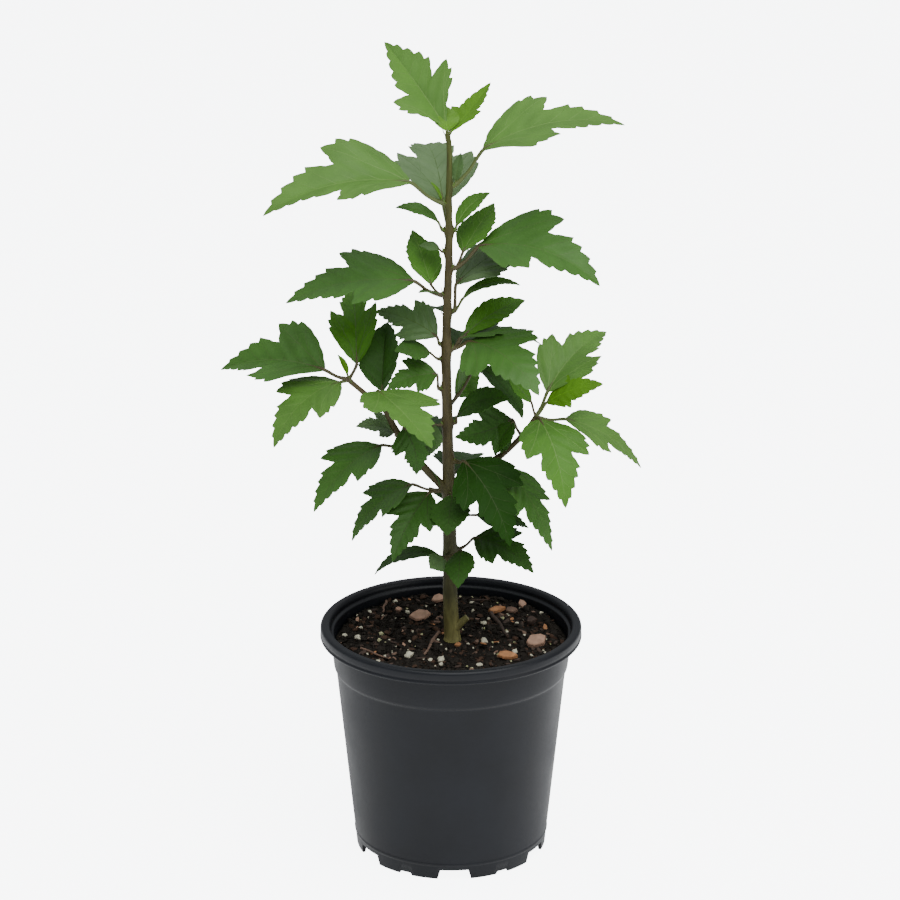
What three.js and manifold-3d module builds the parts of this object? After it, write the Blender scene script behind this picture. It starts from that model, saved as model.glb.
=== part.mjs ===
// Young hibiscus shrub in its nursery pot.
// Millimetres, +Z up, floor at z = 0, origin under the middle of the pot, front towards -Y.
// The stem, the two boughs and every leaf are worked out by the functions below from the sizes
// named in the tables: a shoot is a bud on its limb, with leaf stalks, and each stalk carries a leaf
// that is bent along its midrib, folded into a shallow V and rolled about the midrib.
import * as THREE from "three";
import Module from "manifold-3d";

const wasm = await Module();
wasm.setup();

// Shared sizes
const CLEAR = 0.3; // air between neighbouring solids
const SOIL_TOP = 137; // height of the potting mix at the stem
const LEAF_THICK = 1.0;
const STALK_RADIUS = 0.95;
const BUD_RADIUS = 1.6;
const ROUND_SEGMENTS = 64; // facets round the pot
const STEM_SIDES = 12;
const BOUGH_SIDES = 9;
const STALK_SIDES = 5;

// Plain vector helpers on [x, y, z]
const add = (a, b) => [a[0] + b[0], a[1] + b[1], a[2] + b[2]];
const scaled = (a, k) => [a[0] * k, a[1] * k, a[2] * k];
const minus = (a, b) => [a[0] - b[0], a[1] - b[1], a[2] - b[2]];
const cross = (a, b) => [a[1] * b[2] - a[2] * b[1], a[2] * b[0] - a[0] * b[2], a[0] * b[1] - a[1] * b[0]];
const length = (a) => Math.hypot(a[0], a[1], a[2]);
const unit = (a) => scaled(a, 1 / length(a));
const mix = (a, b, t) => a.map((v, i) => v * (1 - t) + b[i] * t);
const radians = (degrees) => (degrees * Math.PI) / 180;

// A direction by compass (0 = +X, 90 = +Y, the back) and by rise above the horizontal, in degrees.
function direction(compass, rise) {
  const a = radians(compass);
  const e = radians(rise);
  return [Math.cos(a) * Math.cos(e), Math.sin(a) * Math.cos(e), Math.sin(e)];
}

// A closed solid from points and triangles.
function solidFrom(points, triangles) {
  return new wasm.Manifold(
    new wasm.Mesh({
      numProp: 3,
      vertProperties: new Float32Array(points.flat()),
      triVerts: new Uint32Array(triangles.flat()),
    }),
  );
}

// A closed band between rings of equal count, with a fan at each end.
function skin(rings, firstMiddle, lastMiddle) {
  const count = rings[0].length;
  const points = [...rings.flat(), firstMiddle, lastMiddle];
  const first = rings.length * count;
  const last = first + 1;
  const triangles = [];
  for (let j = 0; j < rings.length - 1; j++)
    for (let i = 0; i < count; i++) {
      const k = (i + 1) % count;
      const a = j * count + i;
      const b = j * count + k;
      triangles.push([a, b, b + count], [a, b + count, a + count]);
    }
  const top = (rings.length - 1) * count;
  for (let i = 0; i < count; i++) {
    const k = (i + 1) % count;
    triangles.push([first, k, i], [last, top + i, top + k]);
  }
  return solidFrom(points, triangles);
}

// A profile of [radius, height] turned about the Z axis, from the axis below round to the axis above.
function turned(profile, segments, lift = () => 0) {
  const rings = profile.slice(1, -1).map(([r, z]) =>
    Array.from({ length: segments }, (_, i) => {
      const a = (2 * Math.PI * i) / segments;
      const x = r * Math.cos(a);
      const y = r * Math.sin(a);
      return [x, y, z + lift(x, y, z)];
    }),
  );
  const [low, high] = [profile[0], profile[profile.length - 1]];
  return skin(rings, [0, 0, low[1]], [0, 0, high[1] + lift(0, 0, high[1])]);
}

// A round limb along stations { at: [x, y, z], radius }; the rings keep from twisting.
function limb(stations, sides) {
  let side = null;
  const rings = stations.map(({ at, radius, flat }, i) => {
    const before = stations[Math.max(0, i - 1)].at;
    const after = stations[Math.min(stations.length - 1, i + 1)].at;
    const along = flat ? [0, 0, 1] : unit(minus(after, before));
    const start = side || (Math.abs(along[2]) > 0.8 ? [1, 0, 0] : [0, 0, 1]);
    const share = start[0] * along[0] + start[1] * along[1] + start[2] * along[2];
    const across = unit(minus(start, scaled(along, share)));
    side = across;
    const other = cross(along, across);
    return Array.from({ length: sides }, (_, k) => {
      const a = (2 * Math.PI * k) / sides;
      return add(at, add(scaled(across, radius * Math.cos(a)), scaled(other, radius * Math.sin(a))));
    });
  });
  return skin(rings, stations[0].at, stations[stations.length - 1].at);
}

// A prism: a polygon of [across, up] points standing between two distances along a compass direction.
function radialPrism(outline, compass, near, far) {
  const out = direction(compass, 0);
  const across = direction(compass + 90, 0);
  const ring = (distance) =>
    outline.map(([s, z]) => add(scaled(out, distance), add(scaled(across, s), [0, 0, z])));
  const middle = (points) => scaled(points.reduce(add), 1 / points.length);
  const [a, b] = [ring(near), ring(far)];
  return skin([a, b], middle(a), middle(b));
}

// Pot: a thin-walled blown pot with a raised ring under its base, a step below the rim and a rolled rim.
const POT_FOOT_RADIUS = 60.6;
const POT_WALL_TOP_RADIUS = 71.8;
const POT_STEP_HEIGHT = 113;
const RIM_UNDERSIDE = 141;
const RIM_RADIUS = 82.5;
const POT_HEIGHT = 149.4;
const BASE_PAD_HEIGHT = 1.5;
const BASE_PAD_RADIUS = 38;
const BASE_RING_HEIGHT = 7;
const BASE_WALL = 2;
const NOTCH_COUNT = 6;
const NOTCH_WIDTH = 20;
const NOTCH_HEIGHT = 6.5;
const NOTCH_COMPASS = -88;
const NICK_WIDTH = 9;
const NICK_HEIGHT = 2;

const wallRadius = (z) => POT_FOOT_RADIUS + ((POT_WALL_TOP_RADIUS - POT_FOOT_RADIUS) * z) / POT_STEP_HEIGHT;
const BELT_HEIGHT = 9.8; // faint raised line low on the wall
const BELT_DEPTH = 0.35;
const WALL = 1.2;

const POT_PROFILE = [
  [0, BASE_PAD_HEIGHT],
  [BASE_PAD_RADIUS, BASE_PAD_HEIGHT],
  [BASE_PAD_RADIUS + 4.4, BASE_RING_HEIGHT],
  [POT_FOOT_RADIUS - 2.6, BASE_RING_HEIGHT],
  [POT_FOOT_RADIUS - 1.9, 0],
  [POT_FOOT_RADIUS, 0],
  [wallRadius(BELT_HEIGHT - 0.7), BELT_HEIGHT - 0.7],
  [wallRadius(BELT_HEIGHT) + BELT_DEPTH, BELT_HEIGHT],
  [wallRadius(BELT_HEIGHT + 0.8) + BELT_DEPTH, BELT_HEIGHT + 0.8],
  [wallRadius(BELT_HEIGHT + 1.5), BELT_HEIGHT + 1.5],
  [POT_WALL_TOP_RADIUS, POT_STEP_HEIGHT],
  [72.2, 116],
  [72.7, 119.5],
  [73.6, 121.8],
  [74.3, 126],
  [74.6, 133],
  [74.8, RIM_UNDERSIDE],
  [82, RIM_UNDERSIDE],
  [RIM_RADIUS, 142.3],
  [81.6, 143.7],
  [82.2, 145],
  [82.2, 147.6],
  [81.6, 148.9],
  [80.4, POT_HEIGHT],
  [77.4, POT_HEIGHT],
  [76.2, 148.8],
  [75.5, 145],
  [73.7, 143.8],
  [73.4, 133],
  [73.1, 126],
  [72.4, 121.8],
  [71.5, 119.5],
  [71, 116],
  [POT_WALL_TOP_RADIUS - WALL, POT_STEP_HEIGHT],
  [wallRadius(BASE_RING_HEIGHT + BASE_WALL) - WALL, BASE_RING_HEIGHT + BASE_WALL],
  [BASE_PAD_RADIUS + 5, BASE_RING_HEIGHT + BASE_WALL],
  [BASE_PAD_RADIUS + 0.8, BASE_PAD_HEIGHT + BASE_WALL],
  [0, BASE_PAD_HEIGHT + BASE_WALL],
];

function pot() {
  let body = turned(POT_PROFILE, ROUND_SEGMENTS);
  const cut = (width, height, compass) => {
    const outline = [
      [-width / 2 - 0.8, -1],
      [width / 2 + 0.8, -1],
      [width / 2 - 1.2, height],
      [-width / 2 + 1.2, height],
    ];
    body = body.subtract(radialPrism(outline, compass, POT_FOOT_RADIUS - 5, POT_FOOT_RADIUS + 4));
  };
  for (let i = 0; i < NOTCH_COUNT; i++) {
    const compass = NOTCH_COMPASS + (360 / NOTCH_COUNT) * i;
    cut(NOTCH_WIDTH, NOTCH_HEIGHT, compass);
    cut(NICK_WIDTH, NICK_HEIGHT, compass + 180 / NOTCH_COUNT);
  }
  return body;
}

// Potting mix: fills the pot, with a gently uneven top that is level round the stem.
const SOIL_RINGS = [66, 56, 45, 34, 23];
const SOIL_LEVEL_RADIUS = 12;
const SOIL_SWELL = 0.9;

function soilLift(x, y, z) {
  if (z < SOIL_TOP - 0.1) return 0;
  const r = Math.hypot(x, y);
  const fade = Math.min(1, Math.max(0, (r - SOIL_LEVEL_RADIUS) / 15));
  const swell = Math.sin(0.11 * x + 1.3) * Math.cos(0.13 * y + 0.4) + 0.6 * Math.sin(0.23 * x + 0.19 * y);
  return SOIL_SWELL * fade * swell;
}

function soil() {
  const gap = CLEAR + 0.05;
  const profile = [
    [0, BASE_PAD_HEIGHT + BASE_WALL + gap],
    [BASE_PAD_RADIUS + 0.6, BASE_PAD_HEIGHT + BASE_WALL + gap],
    [BASE_PAD_RADIUS + 4.8, BASE_RING_HEIGHT + BASE_WALL + gap],
    [wallRadius(BASE_RING_HEIGHT + BASE_WALL) - WALL - gap, BASE_RING_HEIGHT + BASE_WALL + gap],
    [POT_WALL_TOP_RADIUS - WALL - gap, POT_STEP_HEIGHT],
    [71 - gap, 116],
    [71.5 - gap, 119.5],
    [72.4 - gap, 121.8],
    [73.1 - gap, 126],
    [73.4 - gap, 133],
    [73.4 - gap, SOIL_TOP - 1],
    [72.4, SOIL_TOP],
    ...SOIL_RINGS.map((r) => [r, SOIL_TOP]),
    [SOIL_LEVEL_RADIUS, SOIL_TOP],
    [0, SOIL_TOP],
  ];
  return turned(profile, ROUND_SEGMENTS, soilLift);
}

// Stem: height, sideways place and radius; it leans and bends a little and flares into the soil.
const STEM = [
  { z: SOIL_TOP + CLEAR, x: 0.9, radius: 6.6 },
  { z: 139.2, x: 0.9, radius: 5.7 },
  { z: 143, x: 0.6, radius: 5.0 },
  { z: 165, x: -0.4, radius: 4.6 },
  { z: 191, x: -0.6, radius: 4.4 },
  { z: 231, x: -1.2, radius: 4.1 },
  { z: 264, x: -1.9, radius: 3.5 },
  { z: 296, x: -2.5, radius: 3.1 },
  { z: 328, x: -2.8, radius: 2.8 },
  { z: 360, x: -2.1, radius: 2.5 },
  { z: 391, x: -1.2, radius: 2.2 },
  { z: 422, x: -1.2, radius: 1.9 },
  { z: 453, x: -1.0, radius: 1.6 },
  { z: 461, x: -2.0, radius: 1.5 },
];
// The stub of a side shoot, cut off low on the right.
const STUB = [
  { at: [2.6, -1.5, 146], radius: 3.0 },
  { at: [5.6, -2.0, 149], radius: 2.5 },
  { at: [8.2, -2.2, 151.6], radius: 2.2 },
  { at: [10.2, -2.3, 153.4], radius: 2.1 },
];
// The two boughs leave the stem opposite one another, 100 mm above the soil.
const LEFT_BOUGH = [
  { at: [-1.5, -1, 237], radius: 2.8 },
  { at: [-17, -3, 254], radius: 2.4 },
  { at: [-33, -5, 277], radius: 2.1 },
  { at: [-41, -5, 292], radius: 1.8 },
  { at: [-52, -4, 301], radius: 1.6 },
  { at: [-61, -4, 309], radius: 1.4 },
];
const RIGHT_BOUGH = [
  { at: [-1.5, 0, 237], radius: 2.6 },
  { at: [16, 1, 250], radius: 2.2 },
  { at: [31, 1, 260], radius: 1.9 },
  { at: [42, 0, 271], radius: 1.6 },
  { at: [51, -2, 284], radius: 1.4 },
];

function stemAt(z) {
  const i = Math.max(1, STEM.findIndex((s) => s.z >= z));
  const [low, high] = [STEM[i - 1], STEM[i]];
  const t = (z - low.z) / (high.z - low.z);
  return { at: [low.x + (high.x - low.x) * t, 0, z], radius: low.radius + (high.radius - low.radius) * t };
}

function boughAt(bough, share) {
  const lengths = bough.slice(1).map((s, i) => length(minus(s.at, bough[i].at)));
  let left = share * lengths.reduce((a, b) => a + b);
  let i = 0;
  while (i < lengths.length - 1 && left > lengths[i]) left -= lengths[i++];
  const t = left / lengths[i];
  return {
    at: mix(bough[i].at, bough[i + 1].at, t),
    radius: bough[i].radius * (1 - t) + bough[i + 1].radius * t,
  };
}

const grown = (stations, by) => stations.map((s) => ({ ...s, radius: s.radius + by }));
const stemStations = STEM.map(({ z, x, radius }, i) => ({ at: [x, 0, z], radius, flat: i < 3 }));
const stem = limb(stemStations, STEM_SIDES).add(limb(STUB, BOUGH_SIDES));
const stemKeepOff = limb(grown(stemStations, CLEAR), STEM_SIDES);
const leftBough = limb(LEFT_BOUGH, BOUGH_SIDES).subtract(stemKeepOff);
const rightBough = limb(RIGHT_BOUGH, BOUGH_SIDES).subtract(stemKeepOff);
const keepOff = [
  stemKeepOff,
  limb(grown(LEFT_BOUGH, CLEAR), BOUGH_SIDES),
  limb(grown(RIGHT_BOUGH, CLEAR), BOUGH_SIDES),
];

// Leaf outlines: x along the midrib, y half width, and the midrib station each point is joined to.
const OUTLINES = {
  lobed: {
    edge: [[0, 0], [0.1, 0.155], [0.22, 0.28], [0.37, 0.37], [0.52, 0.335], [0.47, 0.165], [0.63, 0.205],
      [0.76, 0.15], [0.88, 0.085], [1, 0]],
    rib: [0, 0.08, 0.19, 0.29, 0.36, 0.5, 0.62, 0.75, 0.88, 1],
  },
  wedge: {
    edge: [[0, 0], [0.2, 0.12], [0.36, 0.29], [0.54, 0.35], [0.48, 0.15], [0.65, 0.23], [0.77, 0.165],
      [0.88, 0.1], [1, 0]],
    rib: [0, 0.14, 0.25, 0.35, 0.48, 0.63, 0.75, 0.88, 1],
  },
  narrow: {
    edge: [[0, 0], [0.16, 0.12], [0.38, 0.2], [0.58, 0.215], [0.72, 0.16], [0.86, 0.09], [1, 0]],
    rib: [0, 0.16, 0.38, 0.58, 0.72, 0.86, 1],
  },
  broad: {
    edge: [[0, 0], [0.12, 0.16], [0.34, 0.33], [0.56, 0.34], [0.68, 0.26], [0.84, 0.16], [1, 0]],
    rib: [0, 0.12, 0.32, 0.52, 0.68, 0.84, 1],
  },
  young: {
    edge: [[0, 0], [0.16, 0.12], [0.34, 0.22], [0.44, 0.26], [0.46, 0.15], [0.62, 0.15], [0.8, 0.09], [1, 0]],
    rib: [0, 0.16, 0.3, 0.4, 0.48, 0.62, 0.8, 1],
  },
};

// A leaf: outline, compass and rise of its midrib's chord, length, and its other sizes.
// arch = total bend downwards, roll = turn about the midrib, fold = V, wide = width factor,
// stalk = stalk length, lift and aim = the stalk's own rise and compass.
function leaf(kind, toward, rise, long, more = {}) {
  const arch = more.arch ?? 30;
  return {
    kind, toward, rise, long, arch,
    roll: more.roll ?? 0,
    fold: more.fold ?? 12,
    wide: more.wide ?? 1,
    stalk: more.stalk ?? 10,
    lift: more.lift ?? Math.min(75, rise + arch / 2 + 10),
    aim: more.aim ?? toward,
  };
}

// Where a leaf's midrib has got to at share x of its length.
function ribPoint(spec, base, x) {
  const steps = 16;
  let at = base;
  for (let i = 0; i < steps; i++) {
    const middle = (x * (i + 0.5)) / steps;
    const step = direction(spec.toward, spec.rise + spec.arch * (0.5 - middle));
    at = add(at, scaled(step, (spec.long * x) / steps));
  }
  return at;
}

function ribFrame(spec, x) {
  const along = direction(spec.toward, spec.rise + spec.arch * (0.5 - x));
  const level = direction(spec.toward + 90, 0);
  const up = cross(along, level);
  const roll = radians(spec.roll);
  const side = add(scaled(level, Math.cos(roll)), scaled(up, Math.sin(roll)));
  return { along, side, normal: cross(along, side) };
}

function blade(spec, base) {
  const { edge, rib } = OUTLINES[spec.kind];
  const last = rib.length - 1;
  const fold = radians(spec.fold);
  const middle = [];
  const sides = { left: [], right: [] };
  for (let i = 0; i <= last; i++) {
    const frame = ribFrame(spec, rib[i]);
    const up = scaled(frame.normal, LEAF_THICK / 2 / Math.cos(fold));
    middle.push({ at: ribPoint(spec, base, rib[i]), up });
    if (i === 0 || i === last) continue;
    const [x, y] = edge[i];
    const there = ribFrame(spec, x);
    for (const [name, sign] of [["left", 1], ["right", -1]]) {
      const out = add(scaled(there.side, sign * Math.cos(fold)), scaled(there.normal, Math.sin(fold)));
      const up = add(scaled(there.side, -sign * Math.sin(fold)), scaled(there.normal, Math.cos(fold)));
      sides[name].push({
        at: add(ribPoint(spec, base, x), scaled(out, spec.long * spec.wide * y)),
        up: scaled(up, LEAF_THICK / 2),
      });
    }
  }
  const spots = [...middle, ...sides.left, ...sides.right];
  const points = [...spots.map((s) => add(s.at, s.up)), ...spots.map((s) => minus(s.at, s.up))];
  const under = spots.length;
  const M = (i) => i;
  const L = (i) => (i === 0 || i === last ? i : last + i);
  const R = (i) => (i === 0 || i === last ? i : last + (last - 1) + i);
  const faces = [];
  for (let i = 0; i < last; i++) {
    faces.push([M(i), M(i + 1), L(i + 1)], [M(i), L(i + 1), L(i)]);
    faces.push([M(i), R(i + 1), M(i + 1)], [M(i), R(i), R(i + 1)]);
  }
  const upper = faces.filter(([a, b, c]) => a !== b && b !== c && a !== c);
  const lower = upper.map(([a, b, c]) => [a + under, c + under, b + under]);
  const loop = [];
  for (let i = 0; i <= last; i++) loop.push(R(i));
  for (let i = last - 1; i > 0; i--) loop.push(L(i));
  const walls = loop.flatMap((p, i) => {
    const q = loop[(i + 1) % loop.length];
    return [[p + under, q + under, q], [p + under, q, p]];
  });
  return solidFrom(points, [...upper, ...lower, ...walls]);
}

// The stalk runs from the bud to the leaf's base and on under the midrib as its thick vein.
function stalkOf(spec, root) {
  const base = add(root, scaled(direction(spec.aim, spec.lift), spec.stalk));
  const vein = [0.1, 0.24].map((x, i) => ({
    at: minus(ribPoint(spec, base, x), scaled(ribFrame(spec, x).normal, 0.25)),
    radius: STALK_RADIUS * (0.8 - 0.25 * i),
  }));
  const body = limb([{ at: root, radius: STALK_RADIUS * 1.15 }, { at: base, radius: STALK_RADIUS }, ...vein],
    STALK_SIDES);
  return { base, body };
}

function bud(centre) {
  const rings = [-0.55, 0, 0.55].map((h) =>
    Array.from({ length: 8 }, (_, i) => {
      const a = (2 * Math.PI * i) / 8;
      const r = BUD_RADIUS * Math.sqrt(1 - h * h);
      return add(centre, [r * Math.cos(a), r * Math.sin(a), BUD_RADIUS * h]);
    }),
  );
  return skin(rings, add(centre, [0, 0, -BUD_RADIUS]), add(centre, [0, 0, BUD_RADIUS]));
}

// Where a shoot stands on its limb, a hair clear of the bark.
const STAND_OFF = BUD_RADIUS + CLEAR + 0.1;
function besideLimb({ at, radius }, compass) {
  return add(at, scaled(direction(compass, 0), radius + STAND_OFF));
}
const onStem = (z, compass) => besideLimb(stemAt(z), compass);
const onBough = (bough, share, compass) => besideLimb(boughAt(bough, share), compass);
function pastTip(stations) {
  const [before, tip] = stations.slice(-2);
  return add(tip.at, scaled(unit(minus(tip.at, before.at)), STAND_OFF));
}
const stemTip = add(stemStations[stemStations.length - 1].at, [0, 0, STAND_OFF]);

// Every shoot: its name, where it stands and its leaves.
const SHOOTS = [
  ["crown", stemTip, [
    leaf("wedge", 180, 55, 64, { arch: 7, roll: -64, fold: 28, wide: 1.04, stalk: 3, lift: 58, aim: 116 }),
    leaf("young", 40, 39, 41, { arch: -12, roll: -5, fold: 11, wide: 1.4, stalk: 2, lift: 31, aim: 318 }),
    leaf("broad", 100, 62, 16, { arch: 14, wide: 1.4, stalk: 2, lift: 60, aim: 250 }),
  ]],
  ["shoot_17", onStem(431, 10), [
    leaf("lobed", 5, 9, 89, { arch: 48, roll: 11, fold: 11, wide: 0.99, stalk: 27, lift: 52, aim: 8 }),
    leaf("narrow", 60, 70, 18, { arch: 10, stalk: 2 }),
  ]],
  ["shoot_16", onStem(420, 185), [
    leaf("lobed", 188, -11, 93, { arch: 46, roll: -16, fold: 19, wide: 1.04, stalk: 24, lift: 36, aim: 193 }),
    leaf("narrow", 170, 60, 13, { stalk: 2 }),
  ]],
  ["shoot_15", onStem(402, 90), [
    leaf("lobed", 103, 22, 68, { arch: 87, roll: 1, wide: 1.03, stalk: 17, lift: 63, aim: 118 }),
  ]],
  ["shoot_14", onStem(403, 160), [
    leaf("narrow", 181, 19, 28, { arch: 50, roll: -19, fold: 13, wide: 1.05, stalk: 6, lift: 63, aim: 167 }),
  ]],
  ["shoot_13", onStem(403, 20), [
    leaf("narrow", 27, 38, 30, { arch: 51, roll: 23, wide: 0.95, stalk: 3, lift: 77, aim: 26 }),
  ]],
  ["shoot_12", onStem(380, 345), [
    leaf("broad", 51, 39, 39, { arch: 8, roll: -10, fold: 9, wide: 1.05, stalk: 11, lift: 64, aim: 19 }),
    leaf("lobed", 341, -13, 82, { arch: 60, roll: 17, fold: 13, wide: 1.11, stalk: 20, lift: 45, aim: 352 }),
  ]],
  ["shoot_12_left", onStem(390, 165), [
    leaf("broad", 172, 8, 13, { arch: 40, roll: -20, fold: 8, stalk: 2 }),
  ]],
  ["shoot_11", onStem(363, 185), [
    leaf("broad", 119, 51, 37, { arch: 9, roll: 17, fold: 10, wide: 1.09, stalk: 9, lift: 50, aim: 179 }),
    leaf("lobed", 187, -8, 80, { arch: 36, roll: -14, fold: 9, wide: 1.11, stalk: 20, lift: 32, aim: 203 }),
    leaf("narrow", 215, 12, 15, { wide: 1.3, stalk: 2 }),
  ]],
  ["shoot_10", onStem(352, 20), [
    leaf("narrow", 4, 13, 39, { arch: 73, roll: 15, fold: 11, wide: 0.67, stalk: 9, lift: 58, aim: 9 }),
    leaf("lobed", 22, 22, 65, { arch: 42, roll: 4, fold: 2, stalk: 17, lift: 85, aim: 46 }),
  ]],
  ["shoot_9_back", onStem(349, 100), [
    leaf("narrow", 100, -15, 48, { arch: 22, wide: 0.85, stalk: 6 }),
  ]],
  ["shoot_9", onStem(331, 150), [
    leaf("lobed", 152, 13, 46, { arch: 38, roll: -45, fold: 8, wide: 0.85, stalk: 5, lift: 60, aim: 133 }),
  ]],
  ["shoot_8_back", onStem(325, 70), [
    leaf("lobed", 62, -8, 50, { arch: 40, stalk: 8, lift: 10 }),
  ]],
  ["shoot_8", onStem(329, 10), [
    leaf("narrow", 33, 19, 48, { arch: 33, roll: 28, fold: 15, wide: 0.95, lift: 47, aim: 23 }),
    leaf("lobed", 310, -16, 70, { arch: 53, roll: 20, fold: 3, wide: 1.03, stalk: 11, lift: 30, aim: 337 }),
    leaf("lobed", 12, -8, 54, { arch: 55, wide: 0.85, stalk: 7, lift: 60, aim: 10 }),
  ]],
  ["shoot_7", onStem(322, 170), [
    leaf("broad", 203, 9, 24, { arch: 32, roll: -23, fold: 5, wide: 1.22, stalk: 7, lift: 28, aim: 148 }),
  ]],
  ["shoot_6", onStem(303, 190), [
    leaf("lobed", 197, -13, 34, { arch: 47, roll: -30, fold: 8, wide: 1.17, lift: 84, aim: 174 }),
  ]],
  ["shoot_5", onStem(292, 60), [
    leaf("broad", 62, 20, 35, { arch: 34, roll: 75, wide: 0.96, stalk: 6, lift: 40, aim: 54 }),
    leaf("narrow", 338, -44, 45, { arch: 54, roll: 13, fold: 13, wide: 1.01, stalk: 28, lift: 49, aim: 35 }),
  ]],
  ["shoot_4", onStem(281, 5), [
    leaf("narrow", 339, 24, 39, { arch: 56, roll: 33, fold: 8, wide: 1.3, stalk: 4, lift: 82, aim: 21 }),
  ]],
  ["shoot_4_left", onStem(281, 215), [
    leaf("broad", 235, -62, 22, { fold: 4, wide: 1.3, stalk: 4, lift: 10, aim: 200 }),
  ]],
  ["shoot_3_back", onStem(268, 110), [
    leaf("lobed", 112, -8, 50, { arch: 40, stalk: 6, lift: 20 }),
  ]],
  ["shoot_3", onStem(257, 335), [
    leaf("lobed", 309, -44, 64, { arch: 49, roll: 23, fold: 13, wide: 0.97, lift: 18, aim: 299 }),
  ]],
  ["shoot_2_back", onStem(242, 75), [
    leaf("lobed", 75, -5, 52, { arch: 40, stalk: 8, lift: 10 }),
  ]],
  ["shoot_2_left", onStem(238, 205), [
    leaf("lobed", 237, -38, 54, { arch: 37, roll: -18, fold: 9, wide: 0.85, stalk: 7, lift: 0, aim: 205 }),
    leaf("lobed", 195, -41, 53, { arch: 52, roll: -11, fold: 11, wide: 0.92, stalk: 18, lift: 16, aim: 188 }),
    leaf("narrow", 195, 68, 13, { arch: 20, wide: 1.2, stalk: 2 }),
  ]],
  ["shoot_2_front", onStem(236, 275), [
    leaf("broad", 263, -30, 33, { arch: 20, roll: 8, fold: 0, wide: 1.09, stalk: 7, lift: 24, aim: 287 }),
  ]],
  ["shoot_1_back", onStem(222, 60), [
    leaf("lobed", 95, -5, 40, { arch: 50, stalk: 8, lift: 10 }),
  ]],
  ["shoot_1_right", onStem(222, 10), [
    leaf("lobed", 352, -12, 34, { arch: 37, roll: 20, fold: 10, wide: 0.99, stalk: 11, lift: -7, aim: 359 }),
  ]],
  ["shoot_1_low", onStem(198, 10), [
    leaf("lobed", 332, -21, 46, { arch: 49, roll: 17, fold: 8, wide: 1.12, stalk: 12, lift: 42, aim: 350 }),
  ]],
  ["shoot_1", onStem(195, 230), [
    leaf("narrow", 169, -20, 48, { arch: 74, roll: -15, fold: 7, wide: 0.72, stalk: 2, lift: 17, aim: 196 }),
    leaf("broad", 265, -32, 30, { arch: 47, roll: 15, fold: 0, wide: 0.92, stalk: 14, lift: 27, aim: 334 }),
    leaf("broad", 243, 1, 20, { arch: 15, roll: -40, fold: 0, wide: 1.04, stalk: 6, lift: 9, aim: 279 }),
  ]],
  ["left_shoot_tip", pastTip(LEFT_BOUGH), [
    leaf("lobed", 149, -9, 80, { arch: 37, roll: -30, fold: 23, wide: 0.93, stalk: 16, lift: 25, aim: 186 }),
    leaf("lobed", 213, -35, 62, { arch: 68, roll: -6, fold: 6, wide: 1.12, stalk: 5, lift: -12, aim: 191 }),
    leaf("lobed", 94, 32, 67, { arch: 85, roll: -16, fold: 24, wide: 0.68, stalk: 12, lift: 41, aim: 58 }),
    leaf("narrow", 150, 60, 14, { stalk: 3 }),
  ]],
  ["left_shoot_3", onBough(LEFT_BOUGH, 0.76, 60), [
    leaf("broad", 84, 55, 46, { arch: 52, roll: -24, fold: 30, wide: 1.01, stalk: 8, lift: 59, aim: 94 }),
    leaf("lobed", 296, -10, 78, { arch: 19, roll: -4, fold: 14, wide: 0.88, stalk: 15, lift: 48, aim: 254 }),
  ]],
  ["left_shoot_2", onBough(LEFT_BOUGH, 0.5, 140), [
    leaf("lobed", 197, 13, 26, { arch: 36, roll: -24, wide: 1.3, stalk: 4, lift: 19, aim: 100 }),
  ]],
  ["left_shoot_1", onBough(LEFT_BOUGH, 0.45, 240), [
    leaf("lobed", 312, -67, 32, { arch: 72, roll: 24, fold: 9, wide: 1.23, stalk: 14, lift: 67, aim: 281 }),
    leaf("lobed", 213, -35, 61, { arch: 48, roll: -5, fold: 11, wide: 0.97, stalk: 13, lift: 3, aim: 194 }),
  ]],
  ["right_shoot_tip", pastTip(RIGHT_BOUGH), [
    leaf("lobed", 290, -44, 65, { arch: 66, roll: -6, fold: 9, wide: 0.97, stalk: 5, lift: 1, aim: 294 }),
    leaf("lobed", 6, -35, 60, { arch: 44, roll: 13, fold: 5, wide: 0.99, stalk: 18, aim: 359 }),
    leaf("lobed", 53, 20, 70, { arch: 46, roll: 17, fold: 19, wide: 0.8, stalk: 17, lift: 62, aim: 29 }),
    leaf("young", 345, 23, 39, { roll: 37, fold: 2, wide: 1.3, stalk: 11, lift: 54, aim: 12 }),
    leaf("narrow", 190, 49, 23, { arch: 12, roll: -71, wide: 0.91, lift: 74, aim: 180 }),
  ]],
  ["right_shoot_2", onBough(RIGHT_BOUGH, 0.78, 60), [
    leaf("lobed", 220, -2, 47, { arch: -24, roll: -56, fold: 14, wide: 0.95, stalk: 13, lift: 45, aim: 131 }),
    leaf("broad", 222, -50, 24, { wide: 1.1, stalk: 12, lift: 60, aim: 200 }),
  ]],
  ["right_shoot_1", onBough(RIGHT_BOUGH, 0.5, 300), [
    leaf("lobed", 325, -54, 60, { arch: 34, roll: 1, fold: 1, wide: 0.86, stalk: 7, lift: -19, aim: 308 }),
  ]],
];

const touches = (a, b) => {
  const [p, q] = [a.boundingBox(), b.boundingBox()];
  return [0, 1, 2].every((i) => p.min[i] < q.max[i] && q.min[i] < p.max[i]);
};

// A shoot fused into one solid and kept off the limbs; a scrap cut loose by a limb is dropped.
function shootSolid(root, leaves) {
  let body = bud(root);
  for (const spec of leaves) {
    const { base, body: stalk } = stalkOf(spec, root);
    body = body.add(stalk).add(blade(spec, base));
  }
  for (const limbSolid of keepOff) if (touches(body, limbSolid)) body = body.subtract(limbSolid);
  const pieces = body.decompose();
  return pieces.reduce((a, b) => (b.volume() > a.volume() ? b : a));
}

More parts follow.
